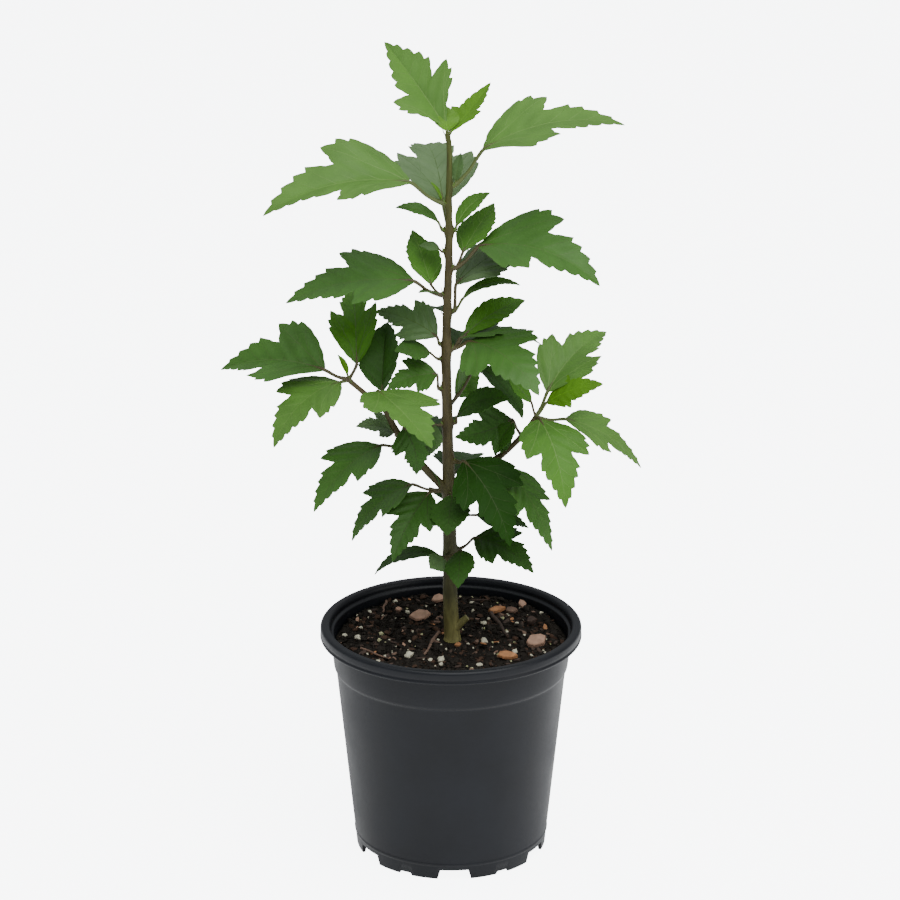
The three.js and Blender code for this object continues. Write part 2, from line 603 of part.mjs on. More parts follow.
// Colours of the finished solids
const BLACK_PLASTIC = { color: 0x2b2f33, roughness: 0.5 };
const DARK_MIX = { color: 0x2a2320, roughness: 0.95 };
const BARK = { color: 0x6b5a45, roughness: 0.85 };
const LEAF = { color: 0x4f7d32, roughness: 0.6 };

function meshOf(name, body, look) {
  const { numProp, vertProperties, triVerts } = body.getMesh();
  const geometry = new THREE.BufferGeometry();
  const count = vertProperties.length / numProp;
  const positions = new Float32Array(count * 3);
  for (let i = 0; i < count; i++) positions.set(vertProperties.subarray(i * numProp, i * numProp + 3), i * 3);
  geometry.setAttribute("position", new THREE.BufferAttribute(positions, 3));
  geometry.setIndex(new THREE.BufferAttribute(new Uint32Array(triVerts), 1));
  geometry.computeVertexNormals();
  const mesh = new THREE.Mesh(geometry, new THREE.MeshStandardMaterial(look));
  mesh.name = name;
  return mesh;
}

const shrub = new THREE.Group();
shrub.name = "potted_hibiscus";
shrub.add(meshOf("pot", pot(), BLACK_PLASTIC));
shrub.add(meshOf("potting_mix", soil(), DARK_MIX));
shrub.add(meshOf("stem", stem, BARK));
shrub.add(meshOf("left_bough", leftBough, BARK));
shrub.add(meshOf("right_bough", rightBough, BARK));
for (const [name, root, leaves] of SHOOTS) shrub.add(meshOf(name, shootSolid(root, leaves), LEAF));

export default shrub;
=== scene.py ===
"""The looks of a young hibiscus shrub in its nursery pot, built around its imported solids.

Laid out as a Blender add-on and run as a script. Tables are in millimetres in the part's frame:
+Z up, floor at 0, front towards -Y. The plant follows the same rule as its solids: a shoot stands
on a limb, and each of its stalks carries a blade bent along its midrib, folded and rolled.
"""

import math
import random

import bmesh
import bpy
import numpy as np
from bpy.props import FloatProperty, FloatVectorProperty, IntProperty, PointerProperty
from bpy.types import Operator, Panel, PropertyGroup
from mathutils import Matrix, Vector, noise


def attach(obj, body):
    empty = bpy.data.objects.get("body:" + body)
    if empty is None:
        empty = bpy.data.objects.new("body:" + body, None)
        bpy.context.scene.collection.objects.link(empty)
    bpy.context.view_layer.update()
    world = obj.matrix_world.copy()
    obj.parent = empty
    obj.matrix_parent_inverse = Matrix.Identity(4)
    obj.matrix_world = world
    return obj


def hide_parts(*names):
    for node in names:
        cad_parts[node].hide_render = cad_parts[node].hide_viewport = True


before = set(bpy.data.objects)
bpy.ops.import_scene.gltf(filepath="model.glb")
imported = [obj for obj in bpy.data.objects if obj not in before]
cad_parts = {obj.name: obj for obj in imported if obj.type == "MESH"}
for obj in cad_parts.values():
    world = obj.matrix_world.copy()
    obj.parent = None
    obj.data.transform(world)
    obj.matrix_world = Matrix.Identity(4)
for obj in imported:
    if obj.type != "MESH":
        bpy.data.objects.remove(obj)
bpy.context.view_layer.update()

bl_info = {
    "name": "Potted Hibiscus",
    "version": (1, 0, 0),
    "blender": (4, 5, 0),
    "location": "View3D > Sidebar > Hibiscus",
    "description": "Builds a young hibiscus shrub in its nursery pot",
    "category": "Add Mesh",
}

MM = 0.001
TURN = 2 * math.pi
BODY = "root"


# Plain helpers

def direction(compass, rise):
    """A unit direction by compass (0 = +X, 90 = the back) and by rise above the horizontal."""
    turn = math.radians(compass)
    climb = math.radians(rise)
    return Vector((math.cos(turn) * math.cos(climb), math.sin(turn) * math.cos(climb), math.sin(climb)))


def finish_piece(name, bm, materials, replaced=(), crease=40.0):
    """Makes a bmesh in millimetres into a piece of the object, smooth but for its sharp edges."""
    bm.normal_update()
    mesh = bpy.data.meshes.new(name)
    bm.to_mesh(mesh)
    bm.free()
    return place_mesh(name, mesh, materials, replaced, crease)


def place_mesh(name, mesh, materials, replaced=(), crease=40.0):
    """Scales a mesh from millimetres, shades it and hands it to the frame."""
    mesh.transform(Matrix.Scale(MM, 4))
    mesh.shade_smooth()
    mesh.set_sharp_from_angle(angle=math.radians(crease))
    for material in materials:
        mesh.materials.append(material)
    piece = bpy.data.objects.new(name, mesh)
    bpy.context.scene.collection.objects.link(piece)
    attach(piece, BODY)
    if replaced:
        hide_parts(*replaced)
    return piece


class Heap:
    """Gathers many small copies of meshes, as arrays, into one mesh."""

    def __init__(self):
        self.points = []
        self.faces = []
        self.looks = []
        self.count = 0

    def add(self, points, faces, looks):
        """Adds one copy, with a look for each of its faces."""
        self.points.append(np.asarray(points, float))
        self.faces.extend(tuple(i + self.count for i in face) for face in faces)
        self.looks.extend(looks)
        self.count += len(points)

    def to_mesh(self, name):
        """The whole heap as a mesh."""
        mesh = bpy.data.meshes.new(name)
        mesh.from_pydata(np.concatenate(self.points).tolist(), [], self.faces)
        mesh.polygons.foreach_set("material_index", self.looks)
        mesh.update()
        return mesh


def arrays_of(bm):
    """A bmesh's points and faces as plain lists, freeing it."""
    bm.verts.index_update()
    points = [tuple(v.co) for v in bm.verts]
    faces = [tuple(v.index for v in f.verts) for f in bm.faces]
    bm.free()
    return points, faces


# The plant's table of limbs and shoots

STEM = [  # height, sideways place, radius
    (137.3, 0.9, 5.7), (139.2, 0.9, 5.3), (143, 0.6, 5.0), (165, -0.4, 4.6), (191, -0.6, 4.4),
    (231, -1.2, 4.1), (264, -1.9, 3.5), (296, -2.5, 3.1), (328, -2.8, 2.8), (360, -2.1, 2.5),
    (391, -1.2, 2.2), (422, -1.2, 1.9), (453, -1.0, 1.6), (461, -2.0, 1.5),
]
LEFT_BOUGH = [  # place, radius
    ((-1.5, -1, 237), 2.8), ((-17, -3, 254), 2.4), ((-33, -5, 277), 2.1), ((-41, -5, 292), 1.8),
    ((-52, -4, 301), 1.6), ((-61, -4, 309), 1.4),
]
RIGHT_BOUGH = [
    ((-1.5, 0, 237), 2.6), ((16, 1, 250), 2.2), ((31, 1, 260), 1.9), ((42, 0, 271), 1.6),
    ((51, -2, 284), 1.4),
]
STEM_STATIONS = [((x, 0.0, z), radius) for z, x, radius in STEM]
STAND_OFF = 2.0  # from a limb's bark to the middle of a shoot's bud
ROOTED = 0.6  # share of a limb's radius at which its stalks start
STEEPEST_STALK = 75
STALK_OVER_BLADE = 10  # how much steeper a stalk usually is than the start of its blade


def along_limb(stations, share):
    """The point and radius at a share of a limb's length."""
    points = [Vector(at) for at, _ in stations]
    lengths = [(b - a).length for a, b in zip(points, points[1:])]
    left = share * sum(lengths)
    i = 0
    while i < len(lengths) - 1 and left > lengths[i]:
        left -= lengths[i]
        i += 1
    t = left / lengths[i]
    radius = stations[i][1] * (1 - t) + stations[i + 1][1] * t
    return points[i].lerp(points[i + 1], t), radius


def stem_at(z):
    """The stem's axis point and radius at a height."""
    i = next((i for i, row in enumerate(STEM) if row[0] >= z and i), len(STEM) - 1)
    low, high = STEM[i - 1], STEM[i]
    t = (z - low[0]) / (high[0] - low[0])
    return Vector((low[1] + (high[1] - low[1]) * t, 0, z)), low[2] + (high[2] - low[2]) * t


def beside(place, compass):
    """A shoot beside a limb: where its stalks leave the wood, and its bud."""
    at, radius = place
    side = direction(compass, 0)
    return at + side * (radius * ROOTED), at + side * (radius + STAND_OFF)


def past_tip(stations):
    """A shoot on a limb's tip."""
    before, tip = Vector(stations[-2][0]), Vector(stations[-1][0])
    along = (tip - before).normalized()
    return tip - along, tip + along * STAND_OFF


def on_stem(z, compass):
    """A shoot on the stem."""
    return beside(stem_at(z), compass)


def on_bough(bough, share, compass):
    """A shoot at a share of a bough's length."""
    return beside(along_limb(bough, share), compass)


def leaf(kind, toward, rise, long, tone, arch=30, roll=0, fold=12, wide=1.0, stalk=10, lift=None, aim=None):
    """A leaf's sizes: compass and rise of the midrib's chord, length, bend, roll, fold, width and stalk.

    Lift and aim are the stalk's rise and compass, for a stalk that doesn't follow its blade.
    """
    return {
        "kind": kind, "toward": toward, "rise": rise, "long": long, "tone": tone, "arch": arch,
        "roll": roll, "fold": fold, "wide": wide, "stalk": stalk,
        "lift": min(STEEPEST_STALK, rise + arch / 2 + STALK_OVER_BLADE) if lift is None else lift,
        "aim": toward if aim is None else aim,
    }


STEM_TIP = (Vector(STEM_STATIONS[-1][0]), Vector(STEM_STATIONS[-1][0]) + Vector((0, 0, STAND_OFF)))
# Each leaf's tone is painted light and shade for the place where it hangs.
SHOOTS = [
    ("crown", STEM_TIP, [
        leaf("wedge", 180, 55, 64, "lit", arch=7, roll=-64, fold=28, wide=1.04, stalk=3, lift=58, aim=116),
        leaf("young", 40, 39, 41, "young", arch=-12, roll=-5, fold=11, wide=1.4, stalk=2, lift=31, aim=318),
        leaf("broad", 100, 62, 16, "young", arch=14, wide=1.4, stalk=2, lift=60, aim=250),
    ]),
    ("shoot_17", on_stem(431, 10), [
        leaf("lobed", 5, 9, 89, "lit", arch=48, roll=11, fold=11, wide=0.99, stalk=27, lift=52, aim=8),
        leaf("narrow", 60, 70, 18, "pale", arch=10, stalk=2),
    ]),
    ("shoot_16", on_stem(420, 185), [
        leaf("lobed", 188, -11, 93, "lit", arch=46, roll=-16, fold=19, wide=1.04, stalk=24, lift=36, aim=193),
        leaf("narrow", 170, 60, 13, "young", stalk=2),
    ]),
    ("shoot_15", on_stem(402, 90), [
        leaf("lobed", 103, 22, 68, "dull", arch=87, roll=1, wide=1.03, stalk=17, lift=63, aim=118),
    ]),
    ("shoot_14", on_stem(403, 160), [
        leaf("narrow", 181, 19, 28, "mid", arch=50, roll=-19, fold=13, wide=1.05, stalk=6, lift=63, aim=167),
    ]),
    ("shoot_13", on_stem(403, 20), [
        leaf("narrow", 27, 38, 30, "rich", arch=51, roll=23, wide=0.95, stalk=3, lift=77, aim=26),
    ]),
    ("shoot_12", on_stem(380, 345), [
        leaf("broad", 51, 39, 39, "rich", arch=8, roll=-10, fold=9, wide=1.05, stalk=11, lift=64, aim=19),
        leaf("lobed", 341, -13, 82, "mid", arch=60, roll=17, fold=13, wide=1.11, stalk=20, lift=45, aim=352),
    ]),
    ("shoot_12_left", on_stem(390, 165), [
        leaf("broad", 172, 8, 13, "pale", arch=40, roll=-20, fold=8, stalk=2),
    ]),
    ("shoot_11", on_stem(363, 185), [
        leaf("broad", 119, 51, 37, "rich", arch=9, roll=17, fold=10, wide=1.09, stalk=9, lift=50, aim=179),
        leaf("lobed", 187, -8, 80, "mid", arch=36, roll=-14, fold=9, wide=1.11, stalk=20, lift=32, aim=203),
        leaf("narrow", 215, 12, 15, "pale", wide=1.3, stalk=2),
    ]),
    ("shoot_10", on_stem(352, 20), [
        leaf("narrow", 4, 13, 39, "lit", arch=73, roll=15, fold=11, wide=0.67, stalk=9, lift=58, aim=9),
        leaf("lobed", 22, 22, 65, "dull", arch=42, roll=4, fold=2, stalk=17, lift=85, aim=46),
    ]),
    ("shoot_9_back", on_stem(349, 100), [
        leaf("narrow", 100, -15, 48, "deep", arch=22, wide=0.85, stalk=6),
    ]),
    ("shoot_9", on_stem(331, 150), [
        leaf("lobed", 152, 13, 46, "pale", arch=38, roll=-45, fold=8, wide=0.85, stalk=5, lift=60, aim=133),
    ]),
    ("shoot_8_back", on_stem(325, 70), [
        leaf("lobed", 62, -8, 50, "deep", arch=40, stalk=8, lift=10),
    ]),
    ("shoot_8", on_stem(329, 10), [
        leaf("narrow", 33, 19, 48, "bright", arch=33, roll=28, fold=15, wide=0.95, lift=47, aim=23),
        leaf("lobed", 310, -16, 70, "mid", arch=53, roll=20, fold=3, wide=1.03, stalk=11, lift=30, aim=337),
        leaf("lobed", 12, -8, 54, "mid", arch=55, wide=0.85, stalk=7, lift=60, aim=10),
    ]),
    ("shoot_7", on_stem(322, 170), [
        leaf("broad", 203, 9, 24, "mid", arch=32, roll=-23, fold=5, wide=1.22, stalk=7, lift=28, aim=148),
    ]),
    ("shoot_6", on_stem(303, 190), [
        leaf("lobed", 197, -13, 34, "mid", arch=47, roll=-30, fold=8, wide=1.17, lift=84, aim=174),
    ]),
    ("shoot_5", on_stem(292, 60), [
        leaf("broad", 62, 20, 35, "bright", arch=34, roll=75, wide=0.96, stalk=6, lift=40, aim=54),
        leaf("narrow", 338, -44, 45, "deep", arch=54, roll=13, fold=13, wide=1.01, stalk=28, lift=49, aim=35),
    ]),
    ("shoot_4", on_stem(281, 5), [
        leaf("narrow", 339, 24, 39, "deep", arch=56, roll=33, fold=8, wide=1.3, stalk=4, lift=82, aim=21),
    ]),
    ("shoot_4_left", on_stem(281, 215), [
        leaf("broad", 235, -62, 22, "pale", fold=4, wide=1.3, stalk=4, lift=10, aim=200),
    ]),
    ("shoot_3_back", on_stem(268, 110), [
        leaf("lobed", 112, -8, 50, "deep", arch=40, stalk=6, lift=20),
    ]),
    ("shoot_3", on_stem(257, 335), [
        leaf("lobed", 309, -44, 64, "dark", arch=49, roll=23, fold=13, wide=0.97, lift=18, aim=299),
    ]),
    ("shoot_2_back", on_stem(242, 75), [
        leaf("lobed", 75, -5, 52, "deep", arch=40, stalk=8, lift=10),
    ]),
    ("shoot_2_left", on_stem(238, 205), [
        leaf("lobed", 237, -38, 54, "deep", arch=37, roll=-18, fold=9, wide=0.85, stalk=7, lift=0, aim=205),
        leaf("lobed", 195, -41, 53, "mid", arch=52, roll=-11, fold=11, wide=0.92, stalk=18, lift=16, aim=188),
        leaf("narrow", 195, 68, 13, "deep", arch=20, wide=1.2, stalk=2),
    ]),
    ("shoot_2_front", on_stem(236, 275), [
        leaf("broad", 263, -30, 33, "deep", arch=20, roll=8, fold=0, wide=1.09, stalk=7, lift=24, aim=287),
    ]),
    ("shoot_1_back", on_stem(222, 60), [
        leaf("lobed", 95, -5, 40, "deep", arch=50, stalk=8, lift=10),
    ]),
    ("shoot_1_right", on_stem(222, 10), [
        leaf("lobed", 352, -12, 34, "deep", arch=37, roll=20, fold=10, wide=0.99, stalk=11, lift=-7, aim=359),
    ]),
    ("shoot_1_low", on_stem(198, 10), [
        leaf("lobed", 332, -21, 46, "deep", arch=49, roll=17, fold=8, wide=1.12, stalk=12, lift=42, aim=350),
    ]),
    ("shoot_1", on_stem(195, 230), [
        leaf("narrow", 169, -20, 48, "deep", arch=74, roll=-15, fold=7, wide=0.72, stalk=2, lift=17, aim=196),
        leaf("broad", 265, -32, 30, "deep", arch=47, roll=15, fold=0, wide=0.92, stalk=14, lift=27, aim=334),
        leaf("broad", 243, 1, 20, "pale", arch=15, roll=-40, fold=0, wide=1.04, stalk=6, lift=9, aim=279),
    ]),
    ("left_shoot_tip", past_tip(LEFT_BOUGH), [
        leaf("lobed", 149, -9, 80, "mid", arch=37, roll=-30, fold=23, wide=0.93, stalk=16, lift=25, aim=186),
        leaf("lobed", 213, -35, 62, "lit", arch=68, roll=-6, fold=6, wide=1.12, stalk=5, lift=-12, aim=191),
        leaf("lobed", 94, 32, 67, "bright", arch=85, roll=-16, fold=24, wide=0.68, stalk=12, lift=41, aim=58),
        leaf("narrow", 150, 60, 14, "young", stalk=3),
    ]),
    ("left_shoot_3", on_bough(LEFT_BOUGH, 0.76, 60), [
        leaf("broad", 84, 55, 46, "deep", arch=52, roll=-24, fold=30, wide=1.01, stalk=8, lift=59, aim=94),
        leaf("lobed", 296, -10, 78, "lit", arch=19, roll=-4, fold=14, wide=0.88, stalk=15, lift=48, aim=254),
    ]),
    ("left_shoot_2", on_bough(LEFT_BOUGH, 0.5, 140), [
        leaf("lobed", 197, 13, 26, "dull", arch=36, roll=-24, wide=1.3, stalk=4, lift=19, aim=100),
    ]),
    ("left_shoot_1", on_bough(LEFT_BOUGH, 0.45, 240), [
        leaf("lobed", 312, -67, 32, "deep", arch=72, roll=24, fold=9, wide=1.23, stalk=14, lift=67, aim=281),
        leaf("lobed", 213, -35, 61, "mid", arch=48, roll=-5, fold=11, wide=0.97, stalk=13, lift=3, aim=194),
    ]),
    ("right_shoot_tip", past_tip(RIGHT_BOUGH), [
        leaf("lobed", 290, -44, 65, "rich", arch=66, roll=-6, fold=9, wide=0.97, stalk=5, lift=1, aim=294),
        leaf("lobed", 6, -35, 60, "lit", arch=44, roll=13, fold=5, wide=0.99, stalk=18, aim=359),
        leaf("lobed", 53, 20, 70, "lit", arch=46, roll=17, fold=19, wide=0.8, stalk=17, lift=62, aim=29),
        leaf("young", 345, 23, 39, "young", roll=37, fold=2, wide=1.3, stalk=11, lift=54, aim=12),
        leaf("narrow", 190, 49, 23, "bright", arch=12, roll=-71, wide=0.91, lift=74, aim=180),
    ]),
    ("right_shoot_2", on_bough(RIGHT_BOUGH, 0.78, 60), [
        leaf("lobed", 220, -2, 47, "deep", arch=-24, roll=-56, fold=14, wide=0.95, stalk=13, lift=45,
             aim=131),
        leaf("broad", 222, -50, 24, "deep", wide=1.1, stalk=12, lift=60, aim=200),
    ]),
    ("right_shoot_1", on_bough(RIGHT_BOUGH, 0.5, 300), [
        leaf("lobed", 325, -54, 60, "mid", arch=34, roll=1, fold=1, wide=0.86, stalk=7, lift=-19, aim=308),
    ]),
]

# Toothed outlines: x along the midrib, y half width, and the midrib station each point hangs on
OUTLINES = {
    "lobed": [
        (0, 0, 0), (0.05, 0.085, 0.03), (0.12, 0.18, 0.07), (0.2, 0.265, 0.11), (0.28, 0.33, 0.145),
        (0.345, 0.365, 0.175), (0.357, 0.335, 0.185), (0.425, 0.375, 0.225), (0.435, 0.338, 0.245),
        (0.52, 0.338, 0.29), (0.49, 0.25, 0.34), (0.47, 0.165, 0.41), (0.52, 0.168, 0.47),
        (0.585, 0.195, 0.53), (0.64, 0.21, 0.57), (0.647, 0.165, 0.605), (0.725, 0.168, 0.68),
        (0.735, 0.125, 0.715),
        (0.82, 0.118, 0.8), (0.83, 0.08, 0.825), (0.91, 0.068, 0.895), (0.917, 0.04, 0.915), (1, 0, 1),
    ],
    "wedge": [
        (0, 0, 0), (0.1, 0.06, 0.06), (0.2, 0.12, 0.12), (0.3, 0.21, 0.17), (0.37, 0.3, 0.21),
        (0.385, 0.275, 0.22), (0.45, 0.345, 0.26), (0.46, 0.315, 0.28), (0.54, 0.35, 0.32),
        (0.52, 0.25, 0.37), (0.48, 0.15, 0.43), (0.56, 0.19, 0.5), (0.65, 0.235, 0.57),
        (0.657, 0.19, 0.605), (0.74, 0.195, 0.68), (0.75, 0.145, 0.715), (0.83, 0.13, 0.8),
        (0.84, 0.09, 0.825), (0.915, 0.075, 0.895), (0.92, 0.045, 0.915), (1, 0, 1),
    ],
    "narrow": [
        (0, 0, 0), (0.08, 0.07, 0.06), (0.16, 0.12, 0.13), (0.27, 0.165, 0.22), (0.38, 0.2, 0.32),
        (0.4, 0.185, 0.36), (0.5, 0.22, 0.44), (0.52, 0.2, 0.48), (0.62, 0.205, 0.56),
        (0.64, 0.175, 0.6), (0.74, 0.155, 0.69), (0.76, 0.13, 0.73), (0.86, 0.095, 0.82),
        (0.88, 0.07, 0.86), (1, 0, 1),
    ],
    "broad": [
        (0, 0, 0), (0.05, 0.09, 0.03), (0.12, 0.17, 0.08), (0.22, 0.26, 0.16), (0.34, 0.33, 0.26),
        (0.36, 0.315, 0.29), (0.46, 0.36, 0.37), (0.48, 0.335, 0.41), (0.58, 0.345, 0.5),
        (0.6, 0.305, 0.54), (0.69, 0.265, 0.63), (0.7, 0.235, 0.66), (0.8, 0.185, 0.75),
        (0.81, 0.155, 0.78), (0.9, 0.1, 0.87), (0.91, 0.075, 0.9), (1, 0, 1),
    ],
    "young": [
        (0, 0, 0), (0.06, 0.06, 0.04), (0.16, 0.12, 0.11), (0.25, 0.175, 0.18), (0.34, 0.22, 0.25),
        (0.35, 0.2, 0.28), (0.44, 0.26, 0.34), (0.46, 0.15, 0.42), (0.54, 0.165, 0.5),
        (0.55, 0.145, 0.53), (0.66, 0.145, 0.63), (0.67, 0.12, 0.66), (0.78, 0.105, 0.76),
        (0.79, 0.08, 0.79), (0.89, 0.06, 0.88), (0.9, 0.045, 0.9), (1, 0, 1),
    ],
}
# Veins of each outline: (start x, start y, end x, end y, strength)
MIDRIB = (0, 0, 0.96, 0, 1.0)
VEINS = {
    "lobed": [
        (0.01, 0, 0.5, 0.318, 0.75), (0.01, 0, 0.2, 0.255, 0.5), (0.2, 0, 0.38, 0.12, 0.4),
        (0.35, 0, 0.52, 0.15, 0.4), (0.48, 0, 0.62, 0.165, 0.4), (0.61, 0, 0.73, 0.13, 0.35),
        (0.73, 0, 0.84, 0.09, 0.3), (0.84, 0, 0.92, 0.045, 0.25), (0.2, 0.125, 0.29, 0.315, 0.35),
        (0.31, 0.196, 0.4, 0.34, 0.3), (0.27, 0.17, 0.44, 0.17, 0.3),
    ],
    "wedge": [
        (0.01, 0, 0.51, 0.31, 0.75), (0.2, 0, 0.4, 0.12, 0.4), (0.35, 0, 0.54, 0.15, 0.4),
        (0.48, 0, 0.63, 0.18, 0.4), (0.61, 0, 0.73, 0.15, 0.35), (0.73, 0, 0.84, 0.1, 0.3),
        (0.84, 0, 0.92, 0.045, 0.25), (0.26, 0.15, 0.36, 0.265, 0.35), (0.34, 0.2, 0.45, 0.32, 0.3),
    ],
    "narrow": [
        (0.02, 0, 0.36, 0.165, 0.5), (0.18, 0, 0.46, 0.17, 0.4), (0.34, 0, 0.58, 0.17, 0.4),
        (0.5, 0, 0.7, 0.14, 0.35), (0.65, 0, 0.82, 0.1, 0.3), (0.79, 0, 0.91, 0.05, 0.25),
    ],
    "broad": [
        (0.02, 0, 0.34, 0.29, 0.6), (0.02, 0, 0.16, 0.18, 0.4), (0.22, 0, 0.5, 0.29, 0.45),
        (0.4, 0, 0.64, 0.24, 0.4), (0.56, 0, 0.76, 0.18, 0.35), (0.7, 0, 0.86, 0.11, 0.3),
    ],
    "young": [
        (0.02, 0, 0.42, 0.225, 0.6), (0.22, 0, 0.42, 0.12, 0.4), (0.4, 0, 0.56, 0.12, 0.35),
        (0.55, 0, 0.7, 0.1, 0.3), (0.7, 0, 0.82, 0.07, 0.25),
    ],
}
# From lit to dark the tones are painted light and shade, and dull is painted light shining through the blade.
TONES = ("lit", "rich", "mid", "bright", "deep", "dark", "pale", "dull", "young")

# How much a tone mirrors the light, and which veins it has, where they aren't the usual ones
SHEEN = {"rich": 0.18, "bright": 0.2, "deep": 0.2, "dark": 0.06}
USUAL_SHEEN = 0.3
TONE_VEINS = {
    "lit": "vein_light", "rich": "vein_light", "young": "vein_young", "deep": "vein_deep",
    "dark": "vein_deep",
}
USUAL_VEINS = "vein_middle"
# The vein looks are lighter and darker copies of one vein green that follow the leaf tones: painted light and
# shade, with the darkest copy painted shade for the deep and dark leaves.
VEIN_LOOKS = {  # colour, how much of it, how much it mirrors the light
    "vein_light": ("vein", 1, 0.3), "vein_middle": ("vein", 0.52, 0.3), "vein_young": ("young", 1.2, 0.3),
    "vein_deep": ("vein", 0.24, 0.2),
}


# Sizes and colours that a user would change

def length_property(name, description, default):
    """A length in metres."""
    return FloatProperty(name=name, description=description, default=default, unit="LENGTH")


def angle_property(name, description, default):
    """An angle in radians."""
    return FloatProperty(name=name, description=description, default=default, subtype="ANGLE")


def power_property(name, description, default):
    """A light's power in watts."""
    return FloatProperty(name=name, description=description, default=default, unit="POWER")


def number_property(name, description, default):
    """A plain number without a unit."""
    return FloatProperty(name=name, description=description, default=default)


def count_property(name, description, default):
    """A whole number."""
    return IntProperty(name=name, description=description, default=default)


def colour_property(name, description, default):
    """A colour as red, green and blue."""
    return FloatVectorProperty(name=name, description=description, default=default, size=3, min=0, max=1,
                               subtype="COLOR")


class HibiscusPotSizes(PropertyGroup):
    """Sizes of the nursery pot"""

    height: length_property("Height", "Floor to the top of the rim", 0.1494)
    foot_radius: length_property("Foot radius", "Outside radius at the floor", 0.0606)
    shoulder_radius: length_property("Shoulder radius", "Outside radius below the step", 0.0718)
    shoulder_height: length_property("Shoulder height", "Height of the step's start", 0.113)
    rim_radius: length_property("Rim radius", "Outside radius of the rolled rim", 0.0825)
    wall: length_property("Wall", "Wall thickness", 0.0012)
    notches: count_property("Notches", "Drain notches round the foot", 6)
    notch_width: length_property("Notch width", "Width of a drain notch", 0.02)
    notch_height: length_property("Notch height", "Height of a drain notch", 0.0065)


class HibiscusMixSizes(PropertyGroup):
    """Sizes of the potting mix and what lies in it"""

    level: length_property("Level", "Height of the mix at the stem", 0.137)
    crumbs: count_property("Crumbs", "Dark crumbs on top", 3600)
    grains: count_property("Grains", "White mineral grains on top", 130)
    chips: count_property("Chips", "Small bark chips on top", 150)
    seed: count_property("Seed", "Seed of the scatter", 11)


class HibiscusLimbSizes(PropertyGroup):
    """Sizes of the bark's relief on stem and boughs"""

    spacing: length_property("Ring spacing", "Distance between rings of the mesh", 0.0014)
    joint_swell: length_property("Joint swell", "Swelling of the limb under each shoot", 0.0006)
    relief: length_property("Relief", "Depth of the bark's fine ridges", 0.00016)


class HibiscusLeafSizes(PropertyGroup):
    """Sizes shared by all leaves"""

    thickness: length_property("Thickness", "Thickness of a blade", 0.0004)
    rows: count_property("Rows", "Rows of faces from midrib to edge", 7)
    wave: number_property("Wave", "Waviness of the edge, as a share of the length", 0.014)
    curl: angle_property("Curl", "How far the halves curl down at the edge", 0.06)
    quilt: length_property("Quilting", "Swelling between the side veins", 0.00028)
    vein: length_property("Vein width", "Half width of the midrib at its base", 0.00055)
    stalk: length_property("Stalk radius", "Radius of a large leaf's stalk", 0.00115)


class HibiscusColours(PropertyGroup):
    """Colours of plant, mix and pot"""

    # The leaf colours lit, rich, mid, deep and dark are one leaf green made lighter or darker for the light
    # and shade on each leaf: painted light and painted shade.
    lit: colour_property("Top leaves", "Fresh leaves in the light", (0.092, 0.222, 0.031))
    # rich is painted shade: a darker copy of the leaf green for leaves that face the light.
    rich: colour_property("Rich leaves", "Full green leaves that face the light", (0.074, 0.2, 0.022))
    # mid is painted half shade on the grown leaves.
    mid: colour_property("Middle leaves", "Grown leaves", (0.052, 0.15, 0.018))
    bright: colour_property("Bright leaves", "Deep grass-green leaves", (0.055, 0.172, 0.008))
    # deep is painted shade on the low leaves under the crown.
    deep: colour_property("Low leaves", "Dark leaves low on the plant", (0.03, 0.094, 0.01))
    dark: colour_property("Shaded leaf", "The darkest leaf, in the shade of the crown", (0.014, 0.052, 0.005))
    pale: colour_property("Pale leaves", "Dull grey-green leaves", (0.082, 0.165, 0.05))
    # dull is painted light: a paler copy of the leaf green for leaves that are shaded by others but have
    # light shining through them.
    dull: colour_property("Far leaves", "Leaves seen through or against the light", (0.125, 0.215, 0.085))
    young: colour_property("Young leaves", "Yellow-green unfolding leaves", (0.09, 0.235, 0.006))
    under: colour_property("Undersides", "The dull underside of the leaves", (0.1, 0.17, 0.06))
    vein: colour_property("Veins", "Veins of the upper side", (0.125, 0.245, 0.052))
    stalk: colour_property("Stalks", "Leaf stalks", (0.09, 0.12, 0.024))
    stalk_brown: colour_property("Brown stalks", "Tanned leaf stalks", (0.078, 0.066, 0.022))
    bark_foot: colour_property("Foot", "Pale olive bark at the soil", (0.2, 0.19, 0.065))
    bark_low: colour_property("Old bark", "Olive bark low on the stem", (0.068, 0.067, 0.021))
    bark_middle: colour_property("Bark", "Brown bark half way up", (0.075, 0.06, 0.019))
    bark_tip: colour_property("Young bark", "Green bark at the tips", (0.07, 0.085, 0.012))
    pot: colour_property("Pot", "Black plastic", (0.007, 0.008, 0.0105))
    mix: colour_property("Mix", "Moist potting mix", (0.0105, 0.0088, 0.0072))
    grain: colour_property("Grains", "White mineral grains", (0.6, 0.57, 0.43))
    stain: colour_property("Stained grains", "Grains with a green stain", (0.36, 0.38, 0.17))
    stain_pale: colour_property("Pale stain", "The paler parts of stained grains", (0.5, 0.48, 0.3))
    chip: colour_property("Chips", "Pinkish bark chips", (0.42, 0.25, 0.17))
    chip_orange: colour_property("Orange chips", "Orange-brown bark chips", (0.45, 0.2, 0.08))
    chip_dark: colour_property("Dark chips", "Dark brown bark chips", (0.06, 0.035, 0.024))
    floor: colour_property("Floor", "Plain pale floor", (0.9, 0.9, 0.9))
    floor_light: colour_property("Floor's glow", "Colour of the light from the floor", (0.96, 0.98, 1.0))
    room: colour_property("Room", "Colour of the room's light", (0.95, 0.975, 1.0))


